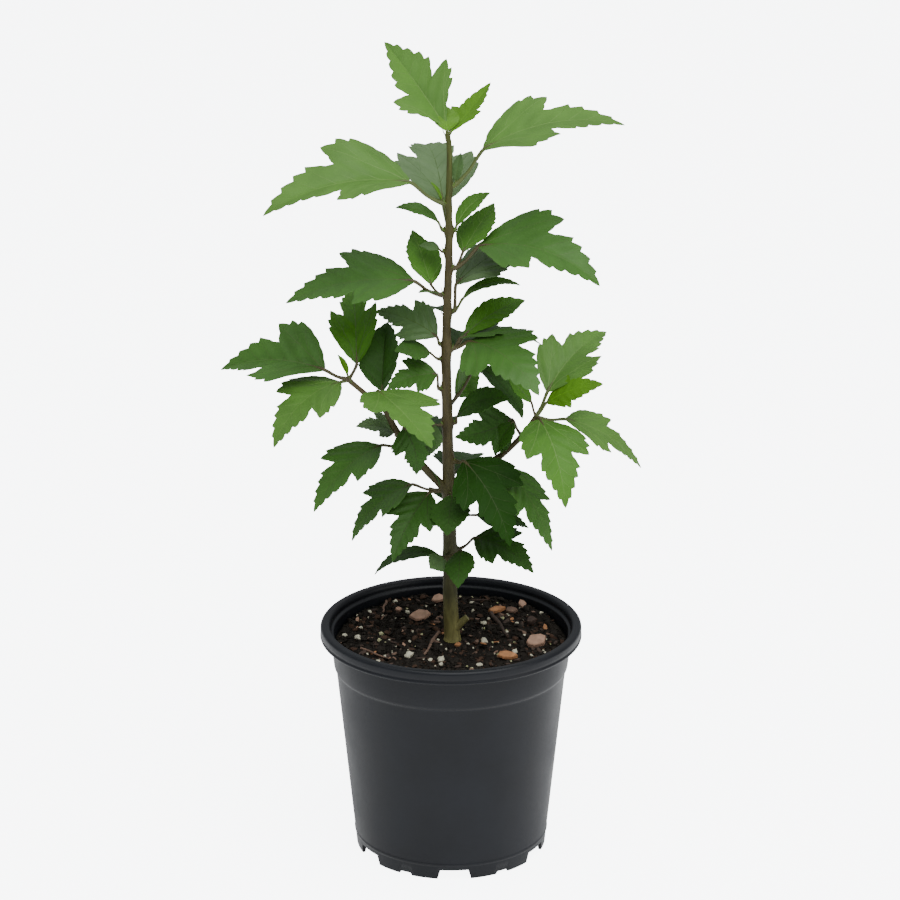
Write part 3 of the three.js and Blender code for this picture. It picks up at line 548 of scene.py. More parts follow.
class HibiscusStageSizes(PropertyGroup):
    """Sizes of floor, light and camera"""

    floor: length_property("Floor", "Half width of the floor", 20.0)
    key_power: power_property("Key light", "Power of the large soft light above", 44.0)
    fill_power: power_property("Fill light", "Power of the soft light in front", 6.0)
    sky: number_property("Ceiling light", "Strength of the room's light from above", 0.8)
    sky_low: number_property("Wall light", "Strength of the room's light from the sides", 0.2)
    floor_glow: number_property("Floor glow", "Light that the floor gives to the plant", 0.5)
    floor_white: number_property("Floor white", "Brightness that the floor is seen with", 7.0)
    distance: length_property("Distance", "Camera to the point looked at", 1.875)
    pitch: angle_property("Pitch", "How far the camera looks down", math.radians(18.84))
    aim_height: length_property("Aim height", "Height of the point looked at", 0.2637)
    aim_side: length_property("Aim side", "Sideways place of the point looked at", -0.0006)
    focal: number_property("Focal length", "Focal length in mm, on a 36 mm sensor", 121.48)


# Materials

CLOUD_DETAIL = 4
CLOUD_EDGE = (0.35, 0.65)  # between these shares the noise turns from one colour to the other
GRAIN_DETAIL = 3


def add_node(nodes, kind, values=None, **settings):
    """A new node, with its settings made and values set on its inputs."""
    node = nodes.new(kind)
    for name, value in settings.items():
        setattr(node, name, value)
    for title, value in (values or {}).items():
        node.inputs[title].default_value = value
    return node


def node_group(name, inputs, outputs):
    """An empty shader node group with named sockets."""
    group = bpy.data.node_groups.new(name, "ShaderNodeTree")
    for kind, title, default in inputs:
        socket = group.interface.new_socket(name=title, in_out="INPUT", socket_type=kind)
        socket.default_value = default
    for kind, title in outputs:
        group.interface.new_socket(name=title, in_out="OUTPUT", socket_type=kind)
    return group, group.nodes.new("NodeGroupInput"), group.nodes.new("NodeGroupOutput")


def mottle_group():
    """Cloudy mix of two colours in object space, stretched along the height."""
    if "Mottle" in bpy.data.node_groups:
        return bpy.data.node_groups["Mottle"]
    group, taken, given = node_group("Mottle", [
        ("NodeSocketColor", "Colour", (0.5, 0.5, 0.5, 1)),
        ("NodeSocketColor", "Other colour", (0.4, 0.4, 0.4, 1)),
        ("NodeSocketFloat", "Scale", 60.0),
        ("NodeSocketFloat", "Stretch", 1.0),
    ], [("NodeSocketColor", "Colour"), ("NodeSocketFloat", "Mask")])
    nodes, links = group.nodes, group.links
    where = add_node(nodes, "ShaderNodeTexCoord")
    stretch = add_node(nodes, "ShaderNodeCombineXYZ", {"X": 1, "Y": 1})
    links.new(taken.outputs["Stretch"], stretch.inputs["Z"])
    scaled = add_node(nodes, "ShaderNodeVectorMath", operation="MULTIPLY")
    links.new(where.outputs["Object"], scaled.inputs[0])
    links.new(stretch.outputs["Vector"], scaled.inputs[1])
    cloud = add_node(nodes, "ShaderNodeTexNoise", {"Detail": CLOUD_DETAIL})
    links.new(scaled.outputs["Vector"], cloud.inputs["Vector"])
    links.new(taken.outputs["Scale"], cloud.inputs["Scale"])
    sharpen = add_node(nodes, "ShaderNodeMapRange", {"From Min": CLOUD_EDGE[0], "From Max": CLOUD_EDGE[1]})
    links.new(cloud.outputs["Fac"], sharpen.inputs["Value"])
    mixed = add_node(nodes, "ShaderNodeMix", data_type="RGBA")
    links.new(sharpen.outputs["Result"], mixed.inputs["Factor"])
    links.new(taken.outputs["Colour"], mixed.inputs["A"])
    links.new(taken.outputs["Other colour"], mixed.inputs["B"])
    links.new(mixed.outputs["Result"], given.inputs["Colour"])
    links.new(sharpen.outputs["Result"], given.inputs["Mask"])
    return group


def grain_group():
    """Fine bumps in object space, as a height for a Bump node."""
    if "Fine grain" in bpy.data.node_groups:
        return bpy.data.node_groups["Fine grain"]
    group, taken, given = node_group("Fine grain", [("NodeSocketFloat", "Scale", 900.0)],
                                     [("NodeSocketFloat", "Height")])
    nodes, links = group.nodes, group.links
    where = add_node(nodes, "ShaderNodeTexCoord")
    cloud = add_node(nodes, "ShaderNodeTexNoise", {"Detail": GRAIN_DETAIL})
    links.new(where.outputs["Object"], cloud.inputs["Vector"])
    links.new(taken.outputs["Scale"], cloud.inputs["Scale"])
    links.new(cloud.outputs["Fac"], given.inputs["Height"])
    return group


def new_look(name, roughness, specular):
    """A material with its roughness and how much it mirrors, its nodes, its links and its shader."""
    look = bpy.data.materials.new(name)
    look.use_nodes = True
    nodes, links = look.node_tree.nodes, look.node_tree.links
    shader = nodes["Principled BSDF"]
    shader.inputs["Roughness"].default_value = roughness
    shader.inputs["Specular IOR Level"].default_value = specular
    return look, nodes, links, shader


def plain_look(name, colour, roughness, specular):
    """A material of one colour."""
    look, _, _, shader = new_look(name, roughness, specular)
    shader.inputs["Base Color"].default_value = (*colour, 1)
    return look


def mixed_look(name, colour, other, roughness, scale=60.0, stretch=1.0, grain=900.0, bump=0.1,
               bump_distance=0.0003, specular=0.5):
    """A material of two mottled colours with a fine grain."""
    look, nodes, links, shader = new_look(name, roughness, specular)
    mottle = add_node(nodes, "ShaderNodeGroup", {
        "Colour": (*colour, 1), "Other colour": (*other, 1), "Scale": scale, "Stretch": stretch,
    }, node_tree=mottle_group())
    links.new(mottle.outputs["Colour"], shader.inputs["Base Color"])
    fine = add_node(nodes, "ShaderNodeGroup", {"Scale": grain}, node_tree=grain_group())
    raised = add_node(nodes, "ShaderNodeBump", {"Strength": bump, "Distance": bump_distance})
    links.new(fine.outputs["Height"], raised.inputs["Height"])
    links.new(raised.outputs["Normal"], shader.inputs["Normal"])
    return look


def mottle_in(nodes):
    """The node that mottles the colours of a look."""
    return next(n for n in nodes if n.type == "GROUP" and n.node_tree.name == "Mottle")


def shaded(colour, factor):
    """A colour made darker or lighter by a factor."""
    return tuple(min(1.0, c * factor) for c in colour)


POT_ROUGHNESS = (0.32, 0.44)  # where the plastic is clean, and where it is dusty


def pot_look(colours):
    """Satin black plastic, with a little dust and a roughness that wanders."""
    look = mixed_look("pot_black", colours.pot, shaded(colours.pot, 1.5), roughness=0.36, scale=26,
                      grain=2200, bump=0.06, bump_distance=0.0002, specular=0.22)
    nodes, links = look.node_tree.nodes, look.node_tree.links
    clean, dusty = POT_ROUGHNESS
    gloss = add_node(nodes, "ShaderNodeMapRange", {"To Min": clean, "To Max": dusty})
    links.new(mottle_in(nodes).outputs["Mask"], gloss.inputs["Value"])
    links.new(gloss.outputs["Result"], nodes["Principled BSDF"].inputs["Roughness"])
    return look


BARK_RAMP = [  # height in metres, name of the colour there
    (0.15, "bark_foot"), (0.17, "bark_low"), (0.215, "bark_low"), (0.27, "bark_middle"),
    (0.385, "bark_middle"), (0.43, "bark_tip"), (0.465, "bark_tip"),
]
BARK_STREAK = (0.62, 0.6, 0.56, 1)  # what the bark's colour is multiplied by in its dark streaks


def bark_look(colours):
    """Bark that turns from olive at the foot through brown to green at the top, with dark streaks."""
    look = mixed_look("bark", colours.bark_middle, colours.bark_middle, roughness=0.62, scale=420,
                      stretch=0.22, grain=1500, bump=0.25, bump_distance=0.0003, specular=0.35)
    nodes, links = look.node_tree.nodes, look.node_tree.links
    mottle = mottle_in(nodes)
    where = add_node(nodes, "ShaderNodeTexCoord")
    split = add_node(nodes, "ShaderNodeSeparateXYZ")
    links.new(where.outputs["Object"], split.inputs["Vector"])
    low, high = BARK_RAMP[0][0], BARK_RAMP[-1][0]
    share = add_node(nodes, "ShaderNodeMapRange", {"From Min": low, "From Max": high})
    links.new(split.outputs["Z"], share.inputs["Value"])
    ramp = add_node(nodes, "ShaderNodeValToRGB")
    stops = ramp.color_ramp.elements
    while len(stops) < len(BARK_RAMP):
        stops.new(0.5)
    for stop, (height, name) in zip(stops, BARK_RAMP):
        stop.position = (height - low) / (high - low)
        stop.color = (*getattr(colours, name), 1)
    links.new(share.outputs["Result"], ramp.inputs["Fac"])
    links.new(ramp.outputs["Color"], mottle.inputs["Colour"])
    darker = add_node(nodes, "ShaderNodeMix", {"Factor": 1, "B": BARK_STREAK}, data_type="RGBA",
                      blend_type="MULTIPLY")
    links.new(ramp.outputs["Color"], darker.inputs["A"])
    links.new(darker.outputs["Result"], mottle.inputs["Other colour"])
    return look


# The pot

CORNER_SHARE = 0.48  # the most of a side that a corner's rounding takes
CORNER_STEPS = (0, 0.25, 0.5, 0.75, 1)


def rounded(profile):
    """Softens each corner of a profile of (radius, height, rounding) by a short arc."""
    points = []
    for i, (r, z, soft) in enumerate(profile):
        here = Vector((r, z))
        if not soft:
            points.append(here)
            continue
        back = Vector(profile[i - 1][:2]) - here
        ahead = Vector(profile[i + 1][:2]) - here
        a = here + back.normalized() * min(soft, back.length * CORNER_SHARE)
        b = here + ahead.normalized() * min(soft, ahead.length * CORNER_SHARE)
        for t in CORNER_STEPS:
            points.append(a * (1 - t) ** 2 + here * (2 * t * (1 - t)) + b * t ** 2)
    return points


def turned(bm, points, steps):
    """Spins a profile of (radius, height) once round the Z axis into a closed shell."""
    spots = [bm.verts.new((p[0], 0, p[1])) for p in points]
    rods = [bm.edges.new(pair) for pair in zip(spots, spots[1:])]
    bmesh.ops.spin(bm, geom=spots + rods, cent=(0, 0, 0), axis=(0, 0, 1), dvec=(0, 0, 0), angle=TURN,
                   steps=steps, use_merge=True, use_normal_flip=False, use_duplicate=False)
    bmesh.ops.remove_doubles(bm, verts=bm.verts, dist=1e-4)
    bmesh.ops.recalc_face_normals(bm, faces=bm.faces)


POT_STEPS = 180
BASE_PAD_HEIGHT = 1.5
BASE_PAD_RADIUS = 38.0
BASE_RING_HEIGHT = 7.0
BASE_WALL = 2.0
BELT_HEIGHT = 9.8
BELT_DEPTH = 0.35
BELT = [  # the fine belt over the foot: height over its lower edge, how far it stands out
    (-0.9, 0), (0, BELT_DEPTH), (0.8, BELT_DEPTH), (1.7, 0),
]
BAND_OUTSIDE = [  # the stepped band under the rim: radius, height, rounding
    (72.2, 116.4, 1), (72.6, 120.2, 0.8), (73.5, 121.4, 0.5), (73.9, 122.6, 0.5), (74.4, 127, 2),
    (74.7, 134, 2),
]
BAND_INSIDE = [(73.4, 133, 1), (73.1, 126, 1), (72.4, 121.8, 0.6), (71.5, 119.5, 0.6)]
RIM = [  # the rolled rim: in from its widest, down from its top, rounding
    (0.6, 8.4, 0.6), (0, 7.2, 0.6), (0.8, 5.9, 0.5), (0.3, 4.6, 0.6), (0.3, 1.4, 0.9), (1.6, 0, 1.2),
    (5.6, 0, 1.2), (6.8, 2.2, 0.8), (7.0, 4.6, 0.6), (8.8, 5.6, 0.6),
]


def pot_profile(sizes):
    """The pot's section, from the axis below, up the outside, over the rim and down the inside."""
    foot, shoulder = sizes.foot_radius / MM, sizes.shoulder_radius / MM
    step, top = sizes.shoulder_height / MM, sizes.height / MM
    rim, wall = sizes.rim_radius / MM, sizes.wall / MM

    def wall_at(z):
        return foot + (shoulder - foot) * z / step

    inner_floor = BASE_RING_HEIGHT + BASE_WALL
    return [
        (0, BASE_PAD_HEIGHT, 0), (BASE_PAD_RADIUS, BASE_PAD_HEIGHT, 1.2),
        (BASE_PAD_RADIUS + 4.4, BASE_RING_HEIGHT, 1.2), (foot - 2.6, BASE_RING_HEIGHT, 0.8),
        (foot - 1.9, 0, 0.4), (foot, 0, 0.5),
        *[(wall_at(BELT_HEIGHT + over) + out, BELT_HEIGHT + over, 0.4) for over, out in BELT],
        (shoulder, step, 2), *BAND_OUTSIDE, (74.8, top - 8.4, 0.5),
        *[(rim - inward, top - down, soft) for inward, down, soft in RIM], *BAND_INSIDE,
        (shoulder - wall + 0.3, 116, 1), (shoulder - wall, step, 1),
        (wall_at(inner_floor) - wall, inner_floor, 1), (BASE_PAD_RADIUS + 5, inner_floor, 1),
        (BASE_PAD_RADIUS + 0.8, BASE_PAD_HEIGHT + BASE_WALL, 1), (0, BASE_PAD_HEIGHT + BASE_WALL, 0),
    ]


NOTCH_COMPASS = -88
NOTCH_FLARE = 1.6  # how much wider a notch is at the floor than its width
NOTCH_TAPER = 2.4  # how much narrower it is at its top
NICK_WIDTH = 9  # the shallow nicks half way between the notches
NICK_HEIGHT = 2
CUTTER_DEPTH = 9
CUTTER_INSET = 0.5  # from the foot's outside to the middle of a cutter
CUTTER_FOOT = -1
FEWEST_FACES = 1000  # the cut pot has more than this


def wedge(bm, width, height, compass, radius):
    """A cutter for a drain notch: a box narrowed towards its top, standing through the foot's wall."""
    made = bmesh.ops.create_cube(bm, size=1)["verts"]
    for v in made:
        low = v.co.z < 0
        v.co.x *= CUTTER_DEPTH
        v.co.y *= width + (NOTCH_FLARE if low else -NOTCH_TAPER)
        v.co.z = CUTTER_FOOT if low else height
    turn = Matrix.Rotation(math.radians(compass), 4, "Z") @ Matrix.Translation((radius, 0, 0))
    bmesh.ops.transform(bm, matrix=turn, verts=made)


class HIBISCUS_OT_pot(Operator):
    """Builds the turned pot and cuts its drain notches"""

    bl_idname = "hibiscus.pot"
    bl_label = "Nursery pot"

    def execute(self, context):
        sizes, colours = context.scene.hibiscus_pot, context.scene.hibiscus_colours
        bm = bmesh.new()
        turned(bm, rounded(pot_profile(sizes)), POT_STEPS)
        piece = finish_piece("nursery_pot", bm, [pot_look(colours)], ["pot"], crease=50)
        cutter = bmesh.new()
        foot = sizes.foot_radius / MM - CUTTER_INSET
        for i in range(sizes.notches):
            compass = NOTCH_COMPASS + 360 / sizes.notches * i
            wedge(cutter, sizes.notch_width / MM, sizes.notch_height / MM, compass, foot)
            wedge(cutter, NICK_WIDTH, NICK_HEIGHT, compass + 180 / sizes.notches, foot)
        bmesh.ops.recalc_face_normals(cutter, faces=cutter.faces)
        mesh = bpy.data.meshes.new("notches")
        cutter.to_mesh(mesh)
        cutter.free()
        mesh.transform(Matrix.Scale(MM, 4))
        tool = bpy.data.objects.new("notches", mesh)
        context.scene.collection.objects.link(tool)
        cut = piece.modifiers.new("notches", "BOOLEAN")
        cut.operation = "DIFFERENCE"
        cut.solver = "EXACT"
        cut.object = tool
        context.view_layer.update()
        done = bpy.data.meshes.new_from_object(piece.evaluated_get(context.evaluated_depsgraph_get()))
        if len(done.polygons) < FEWEST_FACES:
            raise RuntimeError("the drain notches could not be cut")
        piece.modifiers.clear()
        piece.data = done
        bpy.data.objects.remove(tool)
        return {"FINISHED"}


# The potting mix

MIX_RADIUS = 73.0
MIX_STEPS = 144
MIX_RINGS = 44
MIX_SIDE = [  # radius, height: the mix's underside and side, inside the pot's wall
    (0, 3.9), (38.6, 3.9), (42.8, 9.4), (59.9, 9.4), (70.2, 113), (70.6, 116), (72.6, 127),
    (MIX_RADIUS, 134),
]
EDGE_INSET = 0.1
EDGE_DROP = 0.6
TOP_MARGIN = 0.1  # points less than this below the level belong to the mix's top
LEVEL_RADIUS = 12.0  # round the stem the mix is level
FADE_WIDTH = 15  # and over this width its swell grows in
SWELL = 0.9
BACK_SLOPE = 0.035
LUMPS = [(0.8, 0.17, 3), (0.5, 0.5, 9)]  # height, waves for a millimetre, layer of the noise
LUMPS_AT_STEM = 0.35  # share of the lumps' height that they have at the stem


def mix_height(x, y, level):
    """Height of the mix: the solid's slow swell with finer lumps on it, a little higher at the back."""
    r = math.hypot(x, y)
    fade = min(1, max(0, (r - LEVEL_RADIUS) / FADE_WIDTH))
    swell = math.sin(0.11 * x + 1.3) * math.cos(0.13 * y + 0.4) + 0.6 * math.sin(0.23 * x + 0.19 * y)
    lumps = sum(high * noise.noise(Vector((x * often, y * often, layer))) for high, often, layer in LUMPS)
    growth = LUMPS_AT_STEM + (1 - LUMPS_AT_STEM) * fade
    return level + (SWELL * swell + BACK_SLOPE * y) * fade + lumps * growth


def lump_shapes(detail, rough, count, seed):
    """A few irregular pebble shapes about 1 mm across, to be copied."""
    shapes = []
    for k in range(count):
        bm = bmesh.new()
        bmesh.ops.create_icosphere(bm, subdivisions=detail, radius=0.5)
        for v in bm.verts:
            v.co *= 1 + rough * noise.noise(v.co * 2.2 + Vector((k * 7.1 + seed, 0, 0)))
        shapes.append(arrays_of(bm))
    return shapes


CHIP_CORNERS = 7
CHIP_LEVEL = 0.09  # a chip's edge that climbs less than this lies along its top or underside


def chip_shapes(count, seed):
    """A few flat splintered bark chips of unit length, to be copied."""
    draw = random.Random(seed)
    shapes = []
    for _ in range(count):
        bm = bmesh.new()
        bmesh.ops.create_circle(bm, cap_ends=True, segments=CHIP_CORNERS, radius=0.5)
        for v in bm.verts:
            v.co.x *= draw.uniform(0.8, 1.1)
            v.co.y *= draw.uniform(0.4, 0.75)
        raised = bmesh.ops.extrude_face_region(bm, geom=bm.faces[:])["geom"]
        for v in (g for g in raised if isinstance(g, bmesh.types.BMVert)):
            v.co.z += draw.uniform(0.12, 0.2)
            v.co.x *= 0.92
            v.co.y *= 0.9
        edges = [e for e in bm.edges if abs(e.verts[0].co.z - e.verts[1].co.z) < CHIP_LEVEL]
        bmesh.ops.bevel(bm, geom=edges, offset=0.025, segments=1, profile=0.5, affect="EDGES", material=-1)
        bmesh.ops.recalc_face_normals(bm, faces=bm.faces)
        shapes.append(arrays_of(bm))
    return shapes


STEM_ROOM = 8  # nothing is strewn nearer to the pot's axis than this
USUAL_SHARE = 0.85  # share of crumbs and grains that are of the fine sort
FINE_CRUMBS, COARSE_CRUMBS = (0.9, 2.2), (2.2, 4.6)
FINE_GRAINS, COARSE_GRAINS = (0.7, 2.0), (2, 3.4)
CRUMB_RISE, GRAIN_RISE = 0.12, 0.3  # height of their middles over the mix, as a share of the size
CRUMB_MARGIN, CHIP_MARGIN, GRAIN_MARGIN = 1.5, 4, 3  # kept free at the mix's edge
FIBRE_SHARE = 0.16
STAINED_SHARE = 0.3


def strew(heap, shape, at, sizes, turn, look):
    """Adds one copy of a shape to a heap."""
    points, faces = shape
    turned_points = [turn @ Vector((p[0] * sizes[0], p[1] * sizes[1], p[2] * sizes[2])) + at for p in points]
    heap.add([tuple(p) for p in turned_points], faces, [look] * len(faces))


def on_mix(x, y, level, rise):
    """A place at a height over the mix."""
    return Vector((x, y, mix_height(x, y, level) + rise))


def random_turn(draw, tilt):
    """A random turn about Z with some tilt, in degrees."""
    return (Matrix.Rotation(draw.uniform(0, TURN), 3, "Z")
            @ Matrix.Rotation(math.radians(draw.uniform(-tilt, tilt)), 3, "X")
            @ Matrix.Rotation(math.radians(draw.uniform(-tilt, tilt)), 3, "Y"))


def random_spot(draw, reach):
    """A place on the mix, away from the stem."""
    r = 0
    while r <= STEM_ROOM:
        r = reach * math.sqrt(draw.random())
    turn = draw.uniform(0, TURN)
    return r * math.cos(turn), r * math.sin(turn)


def random_size(draw, fine, coarse):
    """A size from the fine range, or now and then from the coarse one."""
    return draw.uniform(*(fine if draw.random() < USUAL_SHARE else coarse))


CHIP_LOOKS = [  # name, colour, how much of it, how much of it in the darker parts, roughness
    ("chip_pink", "chip", 1, 0.72, 0.75), ("chip_orange", "chip_orange", 1, 0.6, 0.75),
    ("chip_brown", "chip", 0.42, 0.28, 0.8), ("chip_dark", "chip_dark", 1, 0.55, 0.85),
]
SMALL_CHIPS = (2.5, 7)  # shortest and longest of the strewn chips
SMALL_CHIP_RISE = 0.2
CHIP_RISE, CHIP_RISE_BY_WIDTH = 0.4, 0.16  # a tilted large chip lies higher the wider it is
LONG_CHIP = 5  # a strewn chip that is longer than this is never a pale one
PALER_CHIPS = (3, 3, 3, 3, 2, 2, 0, 1)  # the looks that a short one draws from, by their number
DARKER_CHIPS = (3, 3, 3, 2)
# What a chip's shape is stretched by, so that it gets the length, width and height of its row below
CHIP_STRETCH = (1, 1.3, 4)
# Large chips that stand out: x, y, length, width, height, turn, tilt towards the front, look
LARGE_CHIPS = [
    (-20, 32, 14, 12, 3, 10, 26, 0), (-9, 60, 10, 9, 3, 40, 24, 0), (-34, 45, 5, 5, 2, 0, 20, 0),
    (29, 43, 13, 8, 4, 15, 20, 1), (39, 44, 8, 7, 3, 0, 18, 2), (46, 50, 5, 9, 3, 20, 30, 0),
    (53, -9, 15, 13, 4, 35, 26, 0), (35, -31, 13, 8, 4, -6, 20, 1), (51, 25, 8, 8, 4, 60, 16, 3),
    (4, -11, 5, 4, 2, 30, 20, 1), (-60, 30, 5, 4, 2, 80, 20, 0), (12, -52, 9, 5, 3, 70, 10, 2),
    (-30, -48, 10, 6, 3, 20, 12, 2), (60, 20, 6, 4, 2, 100, 18, 1),
]
# Sticks: start, end, radius, look
STICKS = [
    ((-8, 9), (-17, -28), 1.1, 2), ((-42, 56), (-44, 41), 0.9, 2), ((26, 38), (36, 2), 1.4, 3),
    ((-56, -16), (-40, -30), 0.8, 2), ((14, 58), (24, 60), 0.8, 3),
]
STICK_STEPS = 8
STICK_SIDES = 8
STICK_BEND = 0.5
STICK_TAPER = 0.35
STICK_RAISED = 0.8
# White grains that stand out: x, y, size
LARGE_GRAINS = [
    (-59, -1, 5), (-52, 39, 3), (-60, 37, 2.2), (-67, 7, 3.2), (-26, -29, 5.4), (-6, -30, 5), (-13, -32, 3.4),
    (21, 21, 4.6), (21, -3, 5.2), (35, 10, 3.2), (37, -8, 2.2), (42, 21, 3), (40, -20, 3.8), (18, -40, 3.8),
    (11, -8, 2), (-45, -34, 3), (58, 38, 2.8), (13, 56, 3), (-26, -2, 2.4), (50, -24, 2.4),
]


class HIBISCUS_OT_mix(Operator):
    """Fills the pot with potting mix and strews crumbs, bark chips, sticks and white grains on it"""

    bl_idname = "hibiscus.mix"
    bl_label = "Potting mix"

    def execute(self, context):
        sizes, colours = context.scene.hibiscus_mix, context.scene.hibiscus_colours
        level = sizes.level / MM
        draw = random.Random(sizes.seed)
        self.fill(level, colours)
        self.crumbs(sizes, colours, level, draw)
        looks = []
        for name, colour, light, dark, roughness in CHIP_LOOKS:
            base = getattr(colours, colour)
            looks.append(mixed_look(name, shaded(base, light), shaded(base, dark), roughness, scale=260,
                                    bump=0.3))
        self.chips(sizes, looks, level, draw)
        self.sticks(looks, level)
        self.grains(sizes, colours, level, draw)
        return {"FINISHED"}

    def fill(self, level, colours):
        """The body of the mix, closed, with its lumpy top."""
        bm = bmesh.new()
        side = [*MIX_SIDE, (MIX_RADIUS - EDGE_INSET, level - EDGE_DROP)]
        top = [(MIX_RADIUS * (1 - i / MIX_RINGS), level) for i in range(1, MIX_RINGS + 1)]
        turned(bm, side + top, MIX_STEPS)
        for v in bm.verts:
            if v.co.z > level - TOP_MARGIN:
                v.co.z = mix_height(v.co.x, v.co.y, level)
        look = mixed_look("potting_mix", colours.mix, shaded(colours.mix, 2.2), roughness=0.9, scale=160,
                          grain=1300, bump=0.8, bump_distance=0.0008, specular=0.08)
        finish_piece("potting_mix_bed", bm, [look], ["potting_mix"], crease=60)

    def crumbs(self, sizes, colours, level, draw):
        """Dark crumbs, some of them brown fibre, over the whole top."""
        looks = [
            mixed_look("mix_crumb", colours.mix, shaded(colours.mix, 2.6), roughness=0.85, scale=300,
                       grain=3000, bump=0.4, specular=0.1),
            mixed_look("mix_fibre", shaded(colours.chip_dark, 0.7), shaded(colours.chip_dark, 1.2),
                       roughness=0.85, scale=300, specular=0.1),
        ]
        shapes = lump_shapes(detail=1, rough=0.9, count=9, seed=2)
        heap = Heap()
        for _ in range(sizes.crumbs):
            x, y = random_spot(draw, MIX_RADIUS - CRUMB_MARGIN)
            size = random_size(draw, FINE_CRUMBS, COARSE_CRUMBS)
            at = on_mix(x, y, level, size * CRUMB_RISE)
            stretch = (size * draw.uniform(0.8, 1.5), size, size * draw.uniform(0.5, 0.9))
            strew(heap, draw.choice(shapes), at, stretch, random_turn(draw, 30),
                  int(draw.random() < FIBRE_SHARE))
        place_mesh("mix_crumbs", heap.to_mesh("mix_crumbs"), looks, crease=70)

    def chips(self, sizes, looks, level, draw):
        """Bark chips: the large ones of the table and many small ones."""
        shapes = chip_shapes(count=8, seed=5)
        heap = Heap()
        for x, y, long, wide, high, compass, tilt, look in LARGE_CHIPS:
            turn = (Matrix.Rotation(math.radians(tilt), 3, "X")
                    @ Matrix.Rotation(math.radians(compass), 3, "Z"))
            at = on_mix(x, y, level, CHIP_RISE + wide * CHIP_RISE_BY_WIDTH)
            stretch = [size * more for size, more in zip((long, wide, high), CHIP_STRETCH)]
            strew(heap, draw.choice(shapes), at, stretch, turn, look)
        for _ in range(sizes.chips):
            x, y = random_spot(draw, MIX_RADIUS - CHIP_MARGIN)
            long = draw.uniform(*SMALL_CHIPS)
            at = on_mix(x, y, level, SMALL_CHIP_RISE)
            look = draw.choice(PALER_CHIPS if long < LONG_CHIP else DARKER_CHIPS)
            strew(heap, draw.choice(shapes), at, (long, long * draw.uniform(0.4, 1), long * 0.9),
                  random_turn(draw, 22), look)
        place_mesh("bark_chips", heap.to_mesh("bark_chips"), looks, crease=30)

    def sticks(self, looks, level):
        """Thin, slightly bent sticks that lie across the mix."""
        bm = bmesh.new()
        for start, end, radius, look in STICKS:
            low, high = mix_height(*start, level), mix_height(*end, level)
            stations = []
            for i in range(STICK_STEPS + 1):
                t = i / STICK_STEPS
                x, y = start[0] + (end[0] - start[0]) * t, start[1] + (end[1] - start[1]) * t
                bend = STICK_BEND * math.sin(9 * t + radius * 7)  # each radius gives another bend
                at = Vector((x + bend, y, low * (1 - t) + high * t + radius + STICK_RAISED))
                stations.append((at, radius * (1 - STICK_TAPER * t)))
            sweep(bm, stations, STICK_SIDES, look)
        finish_piece("mix_sticks", bm, looks)

    def grains(self, sizes, colours, level, draw):
        """White mineral grains, some of them stained."""
        looks = [
            mixed_look("white_grain", colours.grain, shaded(colours.grain, 0.8), roughness=0.9, scale=500,
                       grain=4000, bump=0.5),
            mixed_look("stained_grain", colours.stain, colours.stain_pale, roughness=0.9, scale=400),
        ]
        shapes = lump_shapes(detail=2, rough=0.7, count=8, seed=40)
        heap = Heap()
        for x, y, size in LARGE_GRAINS:
            at = on_mix(x, y, level, size * GRAIN_RISE)
            strew(heap, draw.choice(shapes), at, (size, size * 0.8, size * 0.7), random_turn(draw, 20), 0)
        for _ in range(sizes.grains):
            x, y = random_spot(draw, MIX_RADIUS - GRAIN_MARGIN)
            size = random_size(draw, FINE_GRAINS, COARSE_GRAINS)
            at = on_mix(x, y, level, size * GRAIN_RISE)
            strew(heap, draw.choice(shapes), at, (size, size * 0.85, size * 0.75), random_turn(draw, 40),
                  int(draw.random() < STAINED_SHARE))
        place_mesh("white_grains", heap.to_mesh("white_grains"), looks, crease=70)


# Stem and boughs

STEEP = 0.7  # a path that starts steeper than this takes its first side from X


def transported(points):
    """A frame at each point of a path, its Z along the path, turning as little as it can."""
    frames = []
    across = None
    for i, at in enumerate(points):
        along = (points[min(i + 1, len(points) - 1)] - points[max(i - 1, 0)]).normalized()
        if across is None:
            across = Vector((1, 0, 0)) if abs(along.z) > STEEP else Vector((0, 0, 1))
        across = (across - along * across.dot(along)).normalized()
        other = along.cross(across)
        turn = Matrix((across, other, along)).transposed().to_4x4()
        frames.append(Matrix.Translation(at) @ turn)
    return frames


def sweep(bm, stations, sides, look=0):
    """Grows a closed limb through stations of (place, radius) by extruding a ring; returns its points."""
    frames = transported([Vector(at) for at, _ in stations])
    shapes = [f @ Matrix.Diagonal((radius, radius, 1, 1)) for f, (_, radius) in zip(frames, stations)]
    ring = bmesh.ops.create_circle(bm, cap_ends=False, segments=sides, radius=1, matrix=shapes[0])["verts"]
    edges = list({e for v in ring for e in v.link_edges})
    first = edges
    made = list(ring)
    for before, after in zip(shapes, shapes[1:]):
        grown = bmesh.ops.extrude_edge_only(bm, edges=edges)["geom"]
        fresh = [g for g in grown if isinstance(g, bmesh.types.BMVert)]
        kept = set(fresh)
        edges = [g for g in grown if isinstance(g, bmesh.types.BMEdge) and set(g.verts) <= kept]
        bmesh.ops.transform(bm, matrix=after @ before.inverted(), verts=fresh)
        made.extend(fresh)
    for loop in (first, edges):
        bmesh.ops.holes_fill(bm, edges=loop, sides=0)
    faces = list({f for v in made for f in v.link_faces})
    for face in faces:
        face.material_index = look
    bmesh.ops.recalc_face_normals(bm, faces=faces)
    return made


